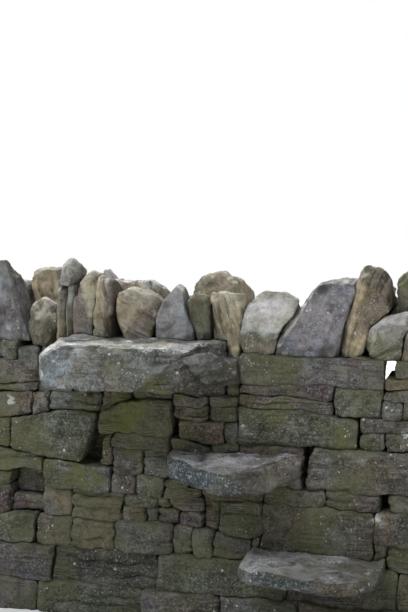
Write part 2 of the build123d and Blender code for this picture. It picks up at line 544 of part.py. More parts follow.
COPES = {
    "cope_big_dark": [
        ([(-840, 0), (-714, 0), (-735, 120), (-765, 215), (-800, 300), (-885, 285), (-868, 150)],
         LEFT_SEAT, COPE_FRONT, SPLIT_FRONT),
        ([(-840, 0), (-714, 0), (-735, 120), (-757, 190), (-860, 205), (-868, 150)],
         LEFT_SEAT, SPLIT_BACK, COPE_BACK)],
    "cope_tan_back": [
        ([(-706, 0), (-600, 0), (-592, 150), (-632, 278), (-736, 270), (-757, 236), (-730, 140)],
         LOW_SEAT, SPLIT_BACK, COPE_BACK)],
    "cope_dark_round": [
        ([(-684, 0), (-610, 0), (-589, 88), (-594, 155), (-645, 171), (-690, 150), (-712, 85)],
         LOW_SEAT, COPE_FRONT, SPLIT_FRONT)],
    "cope_knob": [
        ([(-584, 0), (-552, 0), (-549, 228), (-581, 228)], LOW_SEAT, COPE_FRONT, COPE_BACK),
        ([(-577, 228.5), (-540, 228.5), (-504, 270), (-506, 305), (-543, 327), (-572, 296)],
         LOW_SEAT, COPE_FRONT, 90)],
    "cope_pale_slip": [
        ([(-545, 0), (-523.5, 0), (-523, 150), (-529, 236), (-541, 225)], LOW_SEAT, COPE_FRONT, COPE_BACK)],
    "cope_fluted": [
        ([(-515, 0), (-441, 0), (-438, 130), (-434, 228), (-470, 243), (-498, 214), (-518, 120)],
         UPPER_TREAD, COPE_FRONT, -15),
        ([(-435, 0), (-376, 0), (-368, 110), (-374, 212), (-428, 224)],
         UPPER_TREAD, COPE_FRONT, -15),
        ([(-512, 0), (-385, 0), (-388, 188), (-450, 200), (-464, 236), (-492, 243), (-510, 200)],
         UPPER_TREAD, -20, COPE_BACK)],
    "cope_rounded_brown": [
        ([(-328, 0), (-226, 0), (-194, 132), (-240, 172), (-300, 184), (-350, 158), (-362, 95)],
         UPPER_TREAD, COPE_FRONT, SPLIT_FRONT)],
    "cope_ridge": [
        ([(-362, 0), (-226, 0), (-216, 110), (-246, 178), (-275, 203), (-345, 204), (-366, 150)],
         UPPER_TREAD, SPLIT_BACK, COPE_BACK)],
    "cope_smooth_triangle": [
        ([(-198, 0), (-68, 0), (-66, 36), (-97, 110), (-102, 190), (-120, 203), (-174, 140), (-201, 75)],
         UPPER_TREAD, COPE_FRONT, SPLIT_FRONT),
        ([(-198, 0), (-68, 0), (-66, 36), (-97, 110), (-108, 148), (-168, 140), (-201, 75)],
         UPPER_TREAD, SPLIT_BACK, COPE_BACK)],
    "cope_arch": [
        ([(-58, 0), (52, 0), (80, 75), (86, 130), (60, 198), (0, 238), (-60, 222), (-96, 190), (-91, 110),
          (-60, 36)],
         UPPER_TREAD, SPLIT_BACK, COPE_BACK),
        ([(-58, 0), (-8, 0), (-7, 150), (-48, 163), (-88, 150), (-91, 110), (-60, 36)],
         UPPER_TREAD, COPE_FRONT, SPLIT_FRONT)],
    "cope_wedge": [
        ([(64, 0), (107, 0), (110, 120), (128, 180), (126, 240), (60, 256), (4, 250), (-3, 140), (14, 86),
          (64, 86)],
         WEDGE_SEAT, COPE_FRONT, SPLIT_FRONT)],
    "cope_pale": [
        ([(130, 0), (228, 0), (246, 80), (298, 150), (311, 190), (280, 226), (190, 224), (140, 172),
          (114, 50)],
         RIGHT_SEAT, COPE_FRONT, SPLIT_FRONT),
        ([(130, 0), (228, 0), (246, 80), (278, 124), (264, 176), (160, 170), (114, 50)],
         RIGHT_SEAT, SPLIT_BACK, COPE_BACK)],
    "cope_leaning_slab": [
        ([(238, 0), (461, 0), (471, 80), (494, 150), (524, 262), (470, 270), (392, 255), (336, 195),
          (262, 90)],
         RIGHT_SEAT, COPE_FRONT, COPE_BACK)],
    "cope_tall_tan": [
        ([(466, 0), (546, 0), (572, 112), (632, 170), (634, 268), (604, 309), (554, 323), (540, 300),
          (531, 262), (501, 150), (477, 80)],
         RIGHT_SEAT, COPE_FRONT, -60),
        ([(472, 0), (588, 0), (596, 108), (640, 178), (634, 236), (566, 250), (534, 236), (505, 150),
          (482, 80)],
         RIGHT_SEAT, -65, COPE_BACK)],
    "cope_banded": [
        ([(577, 0), (676, 0), (683, 70), (708, 118), (698, 165), (640, 157), (581, 106), (558, 50)],
         RIGHT_SEAT, COPE_FRONT, SPLIT_FRONT)],
    "cope_green_back": [
        ([(598, 0), (722, 0), (730, 150), (716, 300), (690, 297), (656, 272), (653, 180), (606, 110)],
         RIGHT_SEAT, SPLIT_BACK, COPE_BACK)],
    "cope_right_pair": [
        ([(684, 0), (762, 0), (768, 90), (742, 125), (716, 116), (690, 66)],
         RIGHT_SEAT, COPE_FRONT, SPLIT_FRONT),
        ([(728, 0), (764, 0), (796, 276), (750, 290), (736, 150)],
         RIGHT_SEAT, SPLIT_BACK, COPE_BACK)],
}


# Broken faces of the photographed cope stones: where each meets the front, as x and height above the
# seat, and how far it is turned to the right and tilted up, in degrees
FACETS = {
    "cope_tall_tan": [(540, 160, -26, 0), (540, 160, 20, -3)],
    "cope_leaning_slab": [(330, 120, -6, 12), (430, 230, 4, 24)],
    "cope_rounded_brown": [(-268, 100, 20, 14), (-300, 90, -18, 6)],
    "cope_wedge": [(60, 150, 14, -10)],
    "cope_banded": [(640, 96, -8, 26), (630, 70, 4, -22)],
    "cope_big_dark": [(-800, 190, -10, 12), (-760, 120, 24, -4)],
    "cope_dark_round": [(-650, 90, -12, 14), (-640, 80, 16, -6)],
    "cope_fluted": [(-480, 120, 12, 4), (-495, 140, -20, 6)],
    "cope_pale": [(220, 150, -6, 20), (230, 110, 12, -10)],
    "cope_smooth_triangle": [(-140, 100, 8, 4)],
    "cope_tan_back": [(-680, 180, 10, 12)],
    "cope_arch": [(0, 200, 6, 18)],
}


def cope_stone(outline, seat, front, back, facets=()):
    """One cope stone: its outline run level from the front to a crown, and falling from there to the
    back, with worn ends and any broken faces at the front."""
    foot, top = (seat + pick(rise for x, rise in outline) for pick in (min, max))
    crown = CROWN_SHARE * (front - back) - front
    with BuildPart() as stood:
        with BuildSketch(Plane.XZ.offset(back)):
            with BuildLine():
                Polyline(*[(x, seat + rise + SEAT) for x, rise in outline], close=True)
            make_face()
        extrude(amount=front - back)
        rims = stood.faces().sort_by(Axis.Y)[0].edges() + stood.faces().sort_by(Axis.Y)[-1].edges()
        chamfer(rims, length=min([COPE_ARRIS] + [rim.length / 3 for rim in rims]))
        with BuildSketch(Plane.YZ) as profile:
            with BuildLine():
                Polyline((-front, foot), (-front, top + SEAT), (crown, top + SEAT),
                         (-back, foot + BACK_SHARE * (top - foot)), (-back, foot), close=True)
            make_face()
        extrude(amount=WALL_LENGTH, both=True, mode=Mode.INTERSECT)
        for x, rise, turn, tilt in facets:
            facing = Vector(0, -1, 0).rotate(Axis.X, -tilt).rotate(Axis.Z, turn)
            split(bisect_by=Plane(origin=(x, -front, seat + rise), z_dir=facing), keep=Keep.BOTTOM)
    return stood.part


for name, pieces in COPES.items():
    shaped = [cope_stone(*piece, FACETS.get(name, ()) if piece is pieces[0] else ()) for piece in pieces]
    with BuildPart() as cope:
        add(shaped)
    write(cope.part, name)


def cope_run(x_from, x_to, lean_from, lean_to, dice):
    """Random cope stones on edge between two feet, each leaning a little less than the last."""
    feet = [x_from]
    while x_to - feet[-1] > COPE_THIN + COPE_TALL / 3:
        feet.append(feet[-1] + dice.uniform(COPE_THIN, COPE_THICK))
    feet.append(x_to)
    run = []
    for xa, xb in zip(feet, feet[1:]):
        lean_a, lean_b = (lean_from + (lean_to - lean_from) * (x - x_from) / (x_to - x_from)
                          for x in (xa, xb))
        tall = dice.uniform(COPE_LOW, COPE_TALL)
        left, right = (lambda h: xa + lean_a * h + JOINT), (lambda h: xb + lean_b * h - JOINT)
        flank_a, flank_b, crown = (dice.uniform(0.7, 0.94) * tall for _ in range(3))
        crown_a, crown_b = (tall, crown) if dice.random() < 0.5 else (crown, tall)
        outline = [(left(0), 0), (right(0), 0), (right(flank_b), min(flank_b, crown_b)),
                   (right(crown_b) - 0.3 * (xb - xa), crown_b), (left(crown_a) + 0.25 * (xb - xa), crown_a),
                   (left(flank_a), min(flank_a, crown_a))]
        seat = max(height(COPE_BED, x) for x in (xa, xb))
        front, back = COPE_FRONT - dice.uniform(0, 14), COPE_BACK + dice.uniform(0, 14)
        run.append(cope_stone(outline, seat, front, back))
    return run


LEFT_RUN_END = -845
RIGHT_RUN_START = 770
for name, span, leans in (("cope_left_run", (-HALF_LENGTH, LEFT_RUN_END), (0, -0.17)),
                          ("cope_right_run", (RIGHT_RUN_START, HALF_LENGTH), (0.12, 0))):
    shaped = cope_run(*span, *leans, random.Random(name))
    with BuildPart() as cope:
        add(shaped)
    write(cope.part, name)
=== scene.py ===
import math
import random

import bpy
import numpy as np
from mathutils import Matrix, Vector


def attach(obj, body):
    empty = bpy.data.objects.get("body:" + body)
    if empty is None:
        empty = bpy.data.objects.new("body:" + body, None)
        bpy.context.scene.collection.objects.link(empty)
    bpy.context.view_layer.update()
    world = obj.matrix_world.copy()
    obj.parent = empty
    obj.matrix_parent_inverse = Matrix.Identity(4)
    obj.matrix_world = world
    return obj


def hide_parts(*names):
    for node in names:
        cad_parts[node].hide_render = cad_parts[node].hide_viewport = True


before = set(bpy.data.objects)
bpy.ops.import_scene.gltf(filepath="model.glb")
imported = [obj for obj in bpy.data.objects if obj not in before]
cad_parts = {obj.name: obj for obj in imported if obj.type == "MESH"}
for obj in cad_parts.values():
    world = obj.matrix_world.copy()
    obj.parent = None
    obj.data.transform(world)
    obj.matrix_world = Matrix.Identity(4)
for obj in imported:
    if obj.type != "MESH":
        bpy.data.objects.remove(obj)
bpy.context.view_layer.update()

MM = 0.001
COARSE = 1.0
WALL_HALF = 1.6
TINY = 1e-12

# Repeatable noise on points in space

HASH_SEED = 2654435761
HASH_AXES = (0x8DA6B343, 0xD8163841, 0xCB1AB31F)
HASH_ROUNDS = ((15, 0x2C1B3C6D), (12, 0x297A2D39), (15, 0x85EBCA6B))
HASH_LAST = 16
OCTAVE_GAIN, OCTAVE_STEP = 0.5, 2.07
# Turns the points between octaves, so that their lattices don't line up
TURN = np.array([[0.36, 0.48, -0.8], [-0.8, 0.6, 0.0], [0.48, 0.64, 0.6]])


def hashed(cell, seed):
    """A repeatable number from 0 to 1 for each lattice cell."""
    c = cell.astype(np.int64).astype(np.uint32)
    h = np.uint32(seed * HASH_SEED % 2**32)
    for axis, factor in enumerate(HASH_AXES):
        h = h ^ c[:, axis] * np.uint32(factor)
    for shift, factor in HASH_ROUNDS:
        h ^= h >> np.uint32(shift)
        h *= np.uint32(factor)
    h ^= h >> np.uint32(HASH_LAST)
    return h / 2**32


def noise(points, size, seed):
    """Smooth value noise, -1 to 1, with bumps of about size."""
    q = points / size
    base = np.floor(q)
    f = q - base
    f = f * f * f * (f * (f * 6 - 15) + 10)
    total = np.zeros(len(points))
    for corner in range(8):
        o = np.array([corner & 1, corner >> 1 & 1, corner >> 2 & 1])
        total += np.prod(np.where(o, f, 1 - f), axis=1) * hashed(base + o, seed)
    return 2 * total - 1


def fractal(points, size, octaves, seed, crests=False):
    """Several sizes of noise added up, -1 to 1. With crests it has sharp ridges, like broken rock."""
    total, amount, weight = np.zeros(len(points)), 1.0, 0.0
    for i in range(octaves):
        level = noise(points, size, seed + i)
        total += amount * (1 - 2 * np.abs(level) if crests else level)
        weight += amount
        amount *= OCTAVE_GAIN
        points = points @ TURN.T
        size /= OCTAVE_STEP
    return total / weight


# Patterns on a stone: size of their bumps in metres, octaves and seed
PATTERNS = {
    "hollows": (0.09, 2, 11), "crests": (0.055, 3, 17), "roughness": (0.016, 2, 23), "beds": (0.013, 2, 31),
    "bedded": (0.10, 1, 37), "nibbles": (0.03, 2, 41), "cracks": (0.05, 2, 43), "tones": (0.06, 3, 45),
    "mottling": (0.075, 3, 51), "spots": (0.018, 2, 53), "layers": (0.014, 2, 55), "warmth": (0.12, 1, 57),
    "moss": (0.13, 3, 61), "lichen": (0.05, 3, 71), "bare_and_lit": (0.03, 2, 81), "tread_and_light": (0.05, 3, 91),
    "patches": (0.05, 4, 95), "speckles": (0.022, 3, 97),
}


def pattern(name, points, crests=False):
    """One of the patterns at some points, -1 to 1."""
    size, octaves, seed = PATTERNS[name]
    return fractal(points, size, octaves, seed, crests)


def squash(points, bedding, share):
    """Points drawn together along the beds, so that noise on them makes layers."""
    return points - (1 - share) * (points - (points @ bedding)[:, None] * bedding)


def step(x, a, b):
    """Smooth rise from 0 to 1 as x goes from a to b."""
    t = np.clip((x - a) / (b - a), 0, 1)
    return t * t * (3 - 2 * t)


# Bends that all the stones share: the axis that moves, how far in millimetres, the size of the bends in
# metres, their seed, and whether the cope is spared most of it
BENDS = [(0, 9, 0.13, 101, False), (0, 7, 0.045, 103, True),
         (2, 14, 0.17, 105, False), (2, 9, 0.055, 107, True)]
BEND_THROUGH = np.array([1, 0.35, 1])       # they change less through the wall than along it
COPE_SPARED, COPE_FOOT, COPE_START = 0.8, 0.95, 1.0
END_HELD, GROUND_HELD = 0.06, 0.08


def warp(points):
    """Bends the whole wall's courses and joints a few millimetres, all stones together. The wall's ends
    and its foot stay where they are."""
    flat = points * BEND_THROUGH
    moved = points.copy()
    spared = 1 - COPE_SPARED * step(points[:, 2], COPE_FOOT, COPE_START)
    from_end = WALL_HALF - np.abs(points[:, 0])
    held = {0: step(from_end, 0.0, END_HELD), 2: step(points[:, 2], 0.0, GROUND_HELD)}
    for axis, reach, size, seed, spares in BENDS:
        amount = reach * MM * held[axis] * (spared if spares else 1)
        moved[:, axis] += amount * fractal(flat, size, 2, seed)
    return moved


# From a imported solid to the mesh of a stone

SAME_POINT = 5                              # decimals of a metre
SAME_TURN, SAME_PLANE = 0.9995, 0.4 * MM    # cosine between planes that are one, and distance
NO_AREA = 1e-9
SOFTEN_START, SOFTEN_ROUNDS = 1.15, 10
RIM_SLACK = 1e-5
LEAST_LINES = 3
RIM_LINE = 0.35                             # place of the line next to an edge, as a share of the spacing
DEPTHS, DEPTH_LEFT = (0, 4, 12, 28, 60), 20 * MM

# Where the core's top is lowered, by the upper step, a cope stone and the gap: from, to and height
CORE_TOPS = [(-0.524, 0.064, 0.858), (0.060, 0.110, 0.922), (0.588, 0.666, 0.825)]
CORE_LINES = (60, 11, 26)
CORE_LEAN = 0.28                            # share of its thickness that the core loses per metre of height


def solids(node):
    """Each separate solid of a CAD node, as points and triangles."""
    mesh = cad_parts[node].data
    mesh.calc_loop_triangles()
    co = np.empty(len(mesh.vertices) * 3)
    mesh.vertices.foreach_get("co", co)
    tri = np.empty(len(mesh.loop_triangles) * 3, np.int32)
    mesh.loop_triangles.foreach_get("vertices", tri)
    points, same = np.unique(np.round(co.reshape(-1, 3), SAME_POINT), axis=0, return_inverse=True)
    tri = same.reshape(-1)[tri].reshape(-1, 3)
    label = np.arange(len(points))
    while True:
        low = label[tri].min(1)
        fresh = label.copy()
        for k in range(3):
            np.minimum.at(fresh, tri[:, k], low)
        fresh = fresh[fresh]
        if (fresh == label).all():
            break
        label = fresh
    group = label[tri[:, 0]]
    return [(points, tri[group == g]) for g in np.unique(group)]


def planes_of(points, tri):
    """The solid's face planes as rows of normal and distance, near-equal ones once."""
    a, b, c = (points[tri[:, k]] for k in range(3))
    n = np.cross(b - a, c - a)
    size = np.linalg.norm(n, axis=1)
    kept = []
    for t in np.argsort(-size):
        if size[t] > NO_AREA:
            m = n[t] / size[t]
            d = m @ a[t]
            if all(m @ k[:3] < SAME_TURN or abs(d - k[3]) > SAME_PLANE for k in kept):
                kept.append(np.array([*m, d]))
    return np.array(kept)


def lattice(lines, inner=None):
    """Points and faces on the surface of a box-shaped lattice. inner names a (axis, end) side that
    nobody sees, which is closed by one face."""
    shape = tuple(len(l) for l in lines)
    on = np.zeros(shape, bool)
    for axis in range(3):
        for end in (0, -1):
            on[(slice(None),) * axis + (end,)] = True
    if inner:
        axis, end = inner
        on[tuple(end if a == axis else slice(1, -1) for a in range(3))] = False
    index = np.full(shape, -1)
    index[on] = np.arange(on.sum())
    grid = np.meshgrid(*lines, indexing="ij")
    points = np.stack([g[on] for g in grid], 1)
    quads, cap = [], None
    for axis in range(3):
        for end in (0, -1):
            sheet = np.take(index, end, axis)
            flip = (end == 0) != (axis == 1)
            if inner == (axis, end):
                loop = [*sheet[:-1, 0], *sheet[-1, :-1], *sheet[:0:-1, -1], *sheet[0, :0:-1]]
                cap = [int(v) for v in (loop[::-1] if flip else loop)]
                continue
            q = np.stack([sheet[:-1, :-1], sheet[1:, :-1], sheet[1:, 1:], sheet[:-1, 1:]], -1).reshape(-1, 4)
            quads.append(q[:, ::-1] if flip else q)
    return points, np.concatenate(quads), cap


def soften(points, centre, planes, radius):
    """Moves points along rays from the centre onto the solid with its edges rounded. Also gives the
    normals there, and how near each point is to an edge."""
    ray = points - centre
    slope = ray @ planes[:, :3].T / radius
    start = (planes[:, :3] @ centre - planes[:, 3]) / radius
    t = np.full(len(ray), SOFTEN_START)
    for _ in range(SOFTEN_ROUNDS):
        e = start + slope * t[:, None]
        top = e.max(1, keepdims=True)
        w = np.exp(e - top)
        total = w.sum(1, keepdims=True)
        w /= total
        t -= (top + np.log(total))[:, 0] / (w * slope).sum(1)
    normal = w @ planes[:, :3]
    edge = 1 - (w**2).sum(1)
    return centre + ray * t[:, None], normal / np.linalg.norm(normal, axis=1, keepdims=True), edge


def shoot(points, centre, co, tri):
    """Moves points along rays from the centre onto the solid's own faces."""
    ray = points - centre
    a = co[tri[:, 0]]
    e1, e2 = co[tri[:, 1]] - a, co[tri[:, 2]] - a
    best = np.zeros(len(ray))
    s = centre - a
    for i in range(len(tri)):
        h = np.cross(ray, e2[i])
        det = h @ e1[i]
        det = np.where(np.abs(det) < TINY, TINY, det)
        u = (h @ s[i]) / det
        q = np.cross(s[i], e1[i])
        v = (ray @ q) / det
        t = (e2[i] @ q) / det
        hit = (u > -RIM_SLACK) & (v > -RIM_SLACK) & (u + v < 1 + RIM_SLACK) & (t > 0)
        best = np.where(hit & (t > best), t, best)
    best[best == 0] = 1
    return centre + ray * best[:, None]


def ring_smooth(points, quads, weight):
    """Evens a mesh out by moving each point towards the middle of its neighbours."""
    a = quads.reshape(-1)
    b = np.roll(quads, -1, axis=1).reshape(-1)
    count = np.bincount(a, minlength=len(points)) + np.bincount(b, minlength=len(points))
    total = np.zeros_like(points)
    for k in range(3):
        total[:, k] = np.bincount(a, points[b, k], len(points)) + np.bincount(b, points[a, k], len(points))
    return points + weight * (total / count[:, None] - points)


def normals_of(points, quads):
    """Normals of a mesh at its points."""
    n = np.cross(points[quads[:, 2]] - points[quads[:, 0]], points[quads[:, 3]] - points[quads[:, 1]])
    total = np.zeros_like(points)
    for k in range(4):
        for c in range(3):
            total[:, c] += np.bincount(quads[:, k], n[:, c], len(points))
    return total / np.maximum(np.linalg.norm(total, axis=1, keepdims=True), TINY)


def core_block(stone):
    """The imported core, between the leaning skins and under its stepped top."""
    breaks = [x + d for a, b, _ in CORE_TOPS for x in (a, b) for d in (-MM, MM)]
    even = [np.linspace(stone.lo[k], stone.hi[k], CORE_LINES[k]) for k in range(3)]
    points, quads, _ = lattice([np.unique(np.r_[even[0], breaks]), even[1], even[2]])
    top = np.full(len(points), stone.hi[2])
    for a, b, z in CORE_TOPS:
        top = np.where((points[:, 0] > a) & (points[:, 0] < b), np.minimum(top, z), top)
    points[:, 1] *= 1 - CORE_LEAN * points[:, 2]
    points[:, 2] = np.minimum(points[:, 2], top)
    stone.points, stone.normal, stone.quads = points, normals_of(points, quads), quads
    stone.edge = np.zeros(len(points))


def lines_between(lo, hi, spacing):
    """Evenly spaced lines with one more near each end, for the rounded edge."""
    count = max(LEAST_LINES, int(round((hi - lo) / spacing)) + 1)
    even = np.linspace(lo, hi, count)
    extra = RIM_LINE * (even[1] - even[0])
    return np.sort(np.concatenate([even, [lo + extra, hi - extra]]))


def depth_lines(lo, hi, outward):
    """Lines through a laid stone's depth, close together near its face."""
    at = np.array([d for d in DEPTHS if d * MM < (hi - lo) - DEPTH_LEFT]) * MM
    return np.concatenate([lo + at, [hi]]) if outward < 0 else np.concatenate([[lo], (hi - at)[::-1]])


# Working of the stones. A plane's normal tells what it is: the face, the worn rim round it, a bed or end
FACE, RIM, SQUARE = 0.93, 0.4, 0.9
COPE_RIM = (0.5, 0.85)
FACE_TILT = 0.035
SHIFTS = (-9, 9)                            # metres by which each stone's patterns are moved on
# How far each kind of plane is moved out, in millimetres
MOVES = {"rim": (1.0, 2.8), "bed": (0.8, 2.6), "end": (1.5, 3.6), "corner": (3.5, 9), "cope": (1.5, 6.5)}

# Cracks: the heights of stone from which there are one and two, and their places up the stone; where on
# its length they start and end, past it or within it; how they fade before and after; their size
CRACK_FROM, TWO_CRACKS_FROM = 48 * MM, 85 * MM
ONE_CRACK, TWO_CRACKS, CRACK_SHIFT = (0.5,), (0.33, 0.68), 0.1
WHOLE_START, WHOLE_END, PART_START, PART_END = -1.0, 2.0, (0.1, 0.5), (0.5, 0.9)
FADE_OUT, FADE_IN = 0.1, 0.05
CRACK_DEPTH, CRACK_LEAN, CRACK_WIDTH, CRACK_WANDER = (4, 9), 0.04, 4.5 * MM, 6 * MM

# Chips and slanting cuts: their turns in degrees and radians, and what share of the bite they take
CHIP_TILT, CHIP_SHARE = (8, 50), (0.2, 1)
CUT_TURN, CUT_LEAN, CUT_SHARE, CUT_FRONT = (-0.5, 3.6), (0.25, 1.3), (0.3, 1), 0.7
LEAST_OVER_RADIUS = 7                       # a stone's least side is at least so many radii of its edges
COPE_THROUGH = 2.2                          # spacing through a cope stone over that across its face
EVEN_OUT, EDGE_WEAR, EDGE_MOST = 0.3, 5 * MM, 0.5
JOINT_SIDE, JOINT_SWELL = 0.5, 1.2 * MM     # which surface lies in a joint, and how far it may grow there
CREST_MIDDLE, NIBBLE_MIDDLE = 0.2, 0.25
BED_SQUEEZE, BED_SHARPNESS, BED_DEEP, BED_PROUD = 0.12, 2.5, -1, 0.35


class Stone:
    """One stone's mesh, being worked on."""

    def __init__(self, co, tri, kind, seed):
        self.co, self.tri, self.kind = co, tri, kind
        self.dice = random.Random(seed)
        self.shift = np.array([self.dice.uniform(*SHIFTS) for _ in range(3)])
        self.used = co[np.unique(tri)]
        self.lo, self.hi = self.used.min(0), self.used.max(0)
        self.outward = {"front": -1, "rear": 1}.get(kind)
        self.cap = None
        self.cracks = []
        self.lined = 1.0

    def drawn(self, low, high):
        """A length between two numbers of millimetres."""
        return self.dice.uniform(low, high) * MM

    def crack(self, chance):
        """Opens a bed or two across the face of a stone that is tall for its length."""
        dice, size = self.dice, self.hi - self.lo
        if size[2] > CRACK_FROM and dice.random() < chance:
            for share in ONE_CRACK if size[2] < TWO_CRACKS_FROM else TWO_CRACKS:
                level = self.lo[2] + (share + dice.uniform(-CRACK_SHIFT, CRACK_SHIFT)) * size[2]
                start = dice.choice((WHOLE_START, dice.uniform(*PART_START)))
                end = WHOLE_END if start > 0 else dice.choice((WHOLE_END, dice.uniform(*PART_END)))
                self.cracks.append((level, dice.gauss(0, CRACK_LEAN), start, end, self.drawn(*CRACK_DEPTH)))

    def sharpen(self, planes):
        """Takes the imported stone's even worn edge away, closes its joints, and tilts its face a little."""
        dice = self.dice
        for p in planes:
            facing = p[1] * self.outward
            if facing > FACE:
                middle = np.array([self.used[:, 0].mean(), 0, self.used[:, 2].mean()])
                middle[1] = (p[3] - p[:3] @ middle) / p[1]
                p[:3] += [dice.gauss(0, FACE_TILT), 0, dice.gauss(0, FACE_TILT)]
                p[:3] /= np.linalg.norm(p[:3])
                p[3] = p[:3] @ middle
            elif facing > RIM:
                p[3] += self.drawn(*MOVES["rim"])
            elif abs(p[2]) > SQUARE:
                p[3] += self.drawn(*MOVES["bed"])
            elif abs(p[0]) > SQUARE:
                p[3] += self.drawn(*MOVES["end"])
            elif facing > -RIM:
                p[3] += self.drawn(*MOVES["corner"])

    def crisp(self, planes):
        """Takes most of a cope stone's even worn rim away."""
        for p in planes:
            if COPE_RIM[0] < abs(p[1]) < COPE_RIM[1]:
                p[3] += self.drawn(*MOVES["cope"])

    def rim_cut(self, bite):
        """A slanting cut somewhere along the rim of a cope stone's face, or across its top."""
        turn, lean = self.dice.uniform(*CUT_TURN), self.dice.uniform(*CUT_LEAN)
        n = np.array([math.cos(turn), -lean if self.dice.random() < CUT_FRONT else lean, math.sin(turn)])
        n /= np.linalg.norm(n)
        return [*n, (self.used @ n).max() - self.dice.uniform(*CUT_SHARE) * bite]

    def chip(self, bite):
        """A flat cut that takes a corner off: round the face of a laid stone, anywhere on others."""
        dice = self.dice
        if self.outward:
            tilt, turn = math.radians(dice.uniform(*CHIP_TILT)), dice.uniform(0, 2 * math.pi)
            n = np.array([math.sin(tilt) * math.cos(turn), self.outward * math.cos(tilt),
                          math.sin(tilt) * math.sin(turn)])
        else:
            n = np.array([dice.gauss(0, 1) for _ in range(3)])
            n /= np.linalg.norm(n)
        return [*n, (self.used @ n).max() - dice.uniform(*CHIP_SHARE) * bite]

    def build(self, spacing, radius, chips, bite):
        """Grows the rounded, chipped shape from the solid. Lengths are in millimetres."""
        spacing, radius, bite = spacing * COARSE * MM, radius * MM, bite * MM
        planes = planes_of(self.co, self.tri)
        convex = (self.used @ planes[:, :3].T - planes[:, 3]).max() < SAME_PLANE
        radius = min(radius, (self.hi - self.lo).min() / LEAST_OVER_RADIUS)
        through = spacing * (COPE_THROUGH if self.kind == "cope" else 1)
        lines = [lines_between(self.lo[k], self.hi[k], s) for k, s in enumerate((spacing, through, spacing))]
        if self.outward:
            lines[1] = depth_lines(self.lo[1], self.hi[1], self.outward)
            points, quads, self.cap = lattice(lines, (1, -1 if self.outward < 0 else 0))
            self.sharpen(planes)
        else:
            points, quads, self.cap = lattice(lines)
            if self.kind == "cope":
                self.crisp(planes)
        cut = self.rim_cut if self.kind == "cope" else self.chip
        cuts = [cut(bite) for _ in range(chips)]
        if convex:
            every = np.array([*planes, *cuts])
            self.points, self.normal, self.edge = soften(points, self.used.mean(0), every, radius)
        else:
            raw = shoot(points, (self.lo + self.hi) / 2, self.co, self.tri)
            even = ring_smooth(raw, quads, EVEN_OUT)
            for *n, d in cuts:
                even = even - np.maximum(even @ np.array(n) - d, 0)[:, None] * n
            self.points, self.normal = even, normals_of(even, quads)
            self.edge = np.clip(np.linalg.norm(raw - even, axis=1) / EDGE_WEAR, 0, EDGE_MOST)
        self.quads = quads

    def weather(self, big, crest, small, strata, bedding, nibble, swell=0.0):
        """Wears the surface: broad hollows, broken crests, roughness, bedding lines and nibbled edges.
        Lengths are in millimetres."""
        lengths = (big, crest, small, strata, nibble, swell)
        big, crest, small, strata, nibble, swell = (v * MM for v in lengths)
        p = self.points + self.shift
        d = big * pattern("hollows", p) + small * pattern("roughness", p)
        d += crest * (pattern("crests", p, crests=True) - CREST_MIDDLE)
        lines = BED_SHARPNESS * pattern("beds", squash(p, bedding, BED_SQUEEZE))
        d += strata * step(pattern("bedded", p), -0.5, 0.3) * np.clip(lines, BED_DEEP, BED_PROUD)
        d -= self.edge * np.maximum(0, NIBBLE_MIDDLE + pattern("nibbles", p)) * nibble
        for level, lean, start, end, depth in self.cracks:
            way = self.points[:, 0] - self.lo[0]
            off = self.points[:, 2] - level - lean * way - CRACK_WANDER * pattern("cracks", p)
            along = way / (self.hi[0] - self.lo[0])
            reach = step(along, start - FADE_OUT, start + FADE_IN) * step(end - along, -FADE_IN, FADE_OUT)
            d -= depth * reach * np.exp(-((off / CRACK_WIDTH) ** 2))
        if self.outward:
            side = 1 - np.clip(self.normal[:, 1] * self.outward, 0, 1)
            d = np.where(side > JOINT_SIDE, np.minimum(d, JOINT_SWELL), d)
        self.hollow = d
        grown = d + swell * (1 - self.normal[:, 1] ** 2)
        self.points = warp(self.points + self.normal * grown[:, None])
        self.points[:, 2] = np.maximum(self.points[:, 2], 0)


SHARP_EDGE = math.radians(34)


def join(name, stones, material, node):
    """One visible piece made of its stones, standing for a CAD node."""
    points, faces, start = [], [], 0
    tone, growth = [], []
    for s in stones:
        points.append(s.points)
        faces += (s.quads + start).tolist()
        if s.cap:
            faces.append([v + start for v in s.cap])
        tone.append(s.tone)
        growth.append(s.growth)
        start += len(s.points)
    mesh = bpy.data.meshes.new(name)
    mesh.from_pydata(np.concatenate(points).tolist(), [], faces)
    for label, data in (("tone", tone), ("growth", growth)):
        layer = mesh.color_attributes.new(label, "FLOAT_COLOR", "POINT")
        layer.data.foreach_set("color", np.concatenate(data).astype(np.float32).reshape(-1))
    mesh.shade_smooth()
    mesh.set_sharp_from_angle(angle=SHARP_EDGE)
    mesh.update()
    piece = bpy.data.objects.new(name, mesh)
    bpy.context.scene.collection.objects.link(piece)
    mesh.materials.append(material)
    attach(piece, "root")
    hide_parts(node)
    return piece


# Colours of the stones


def linear(r, g, b):
    """A colour of 0 to 255 as Blender's own values."""
    return [((c / 255 + 0.055) / 1.055) ** 2.4 if c > 10 else c / 255 / 12.92 for c in (r, g, b)]


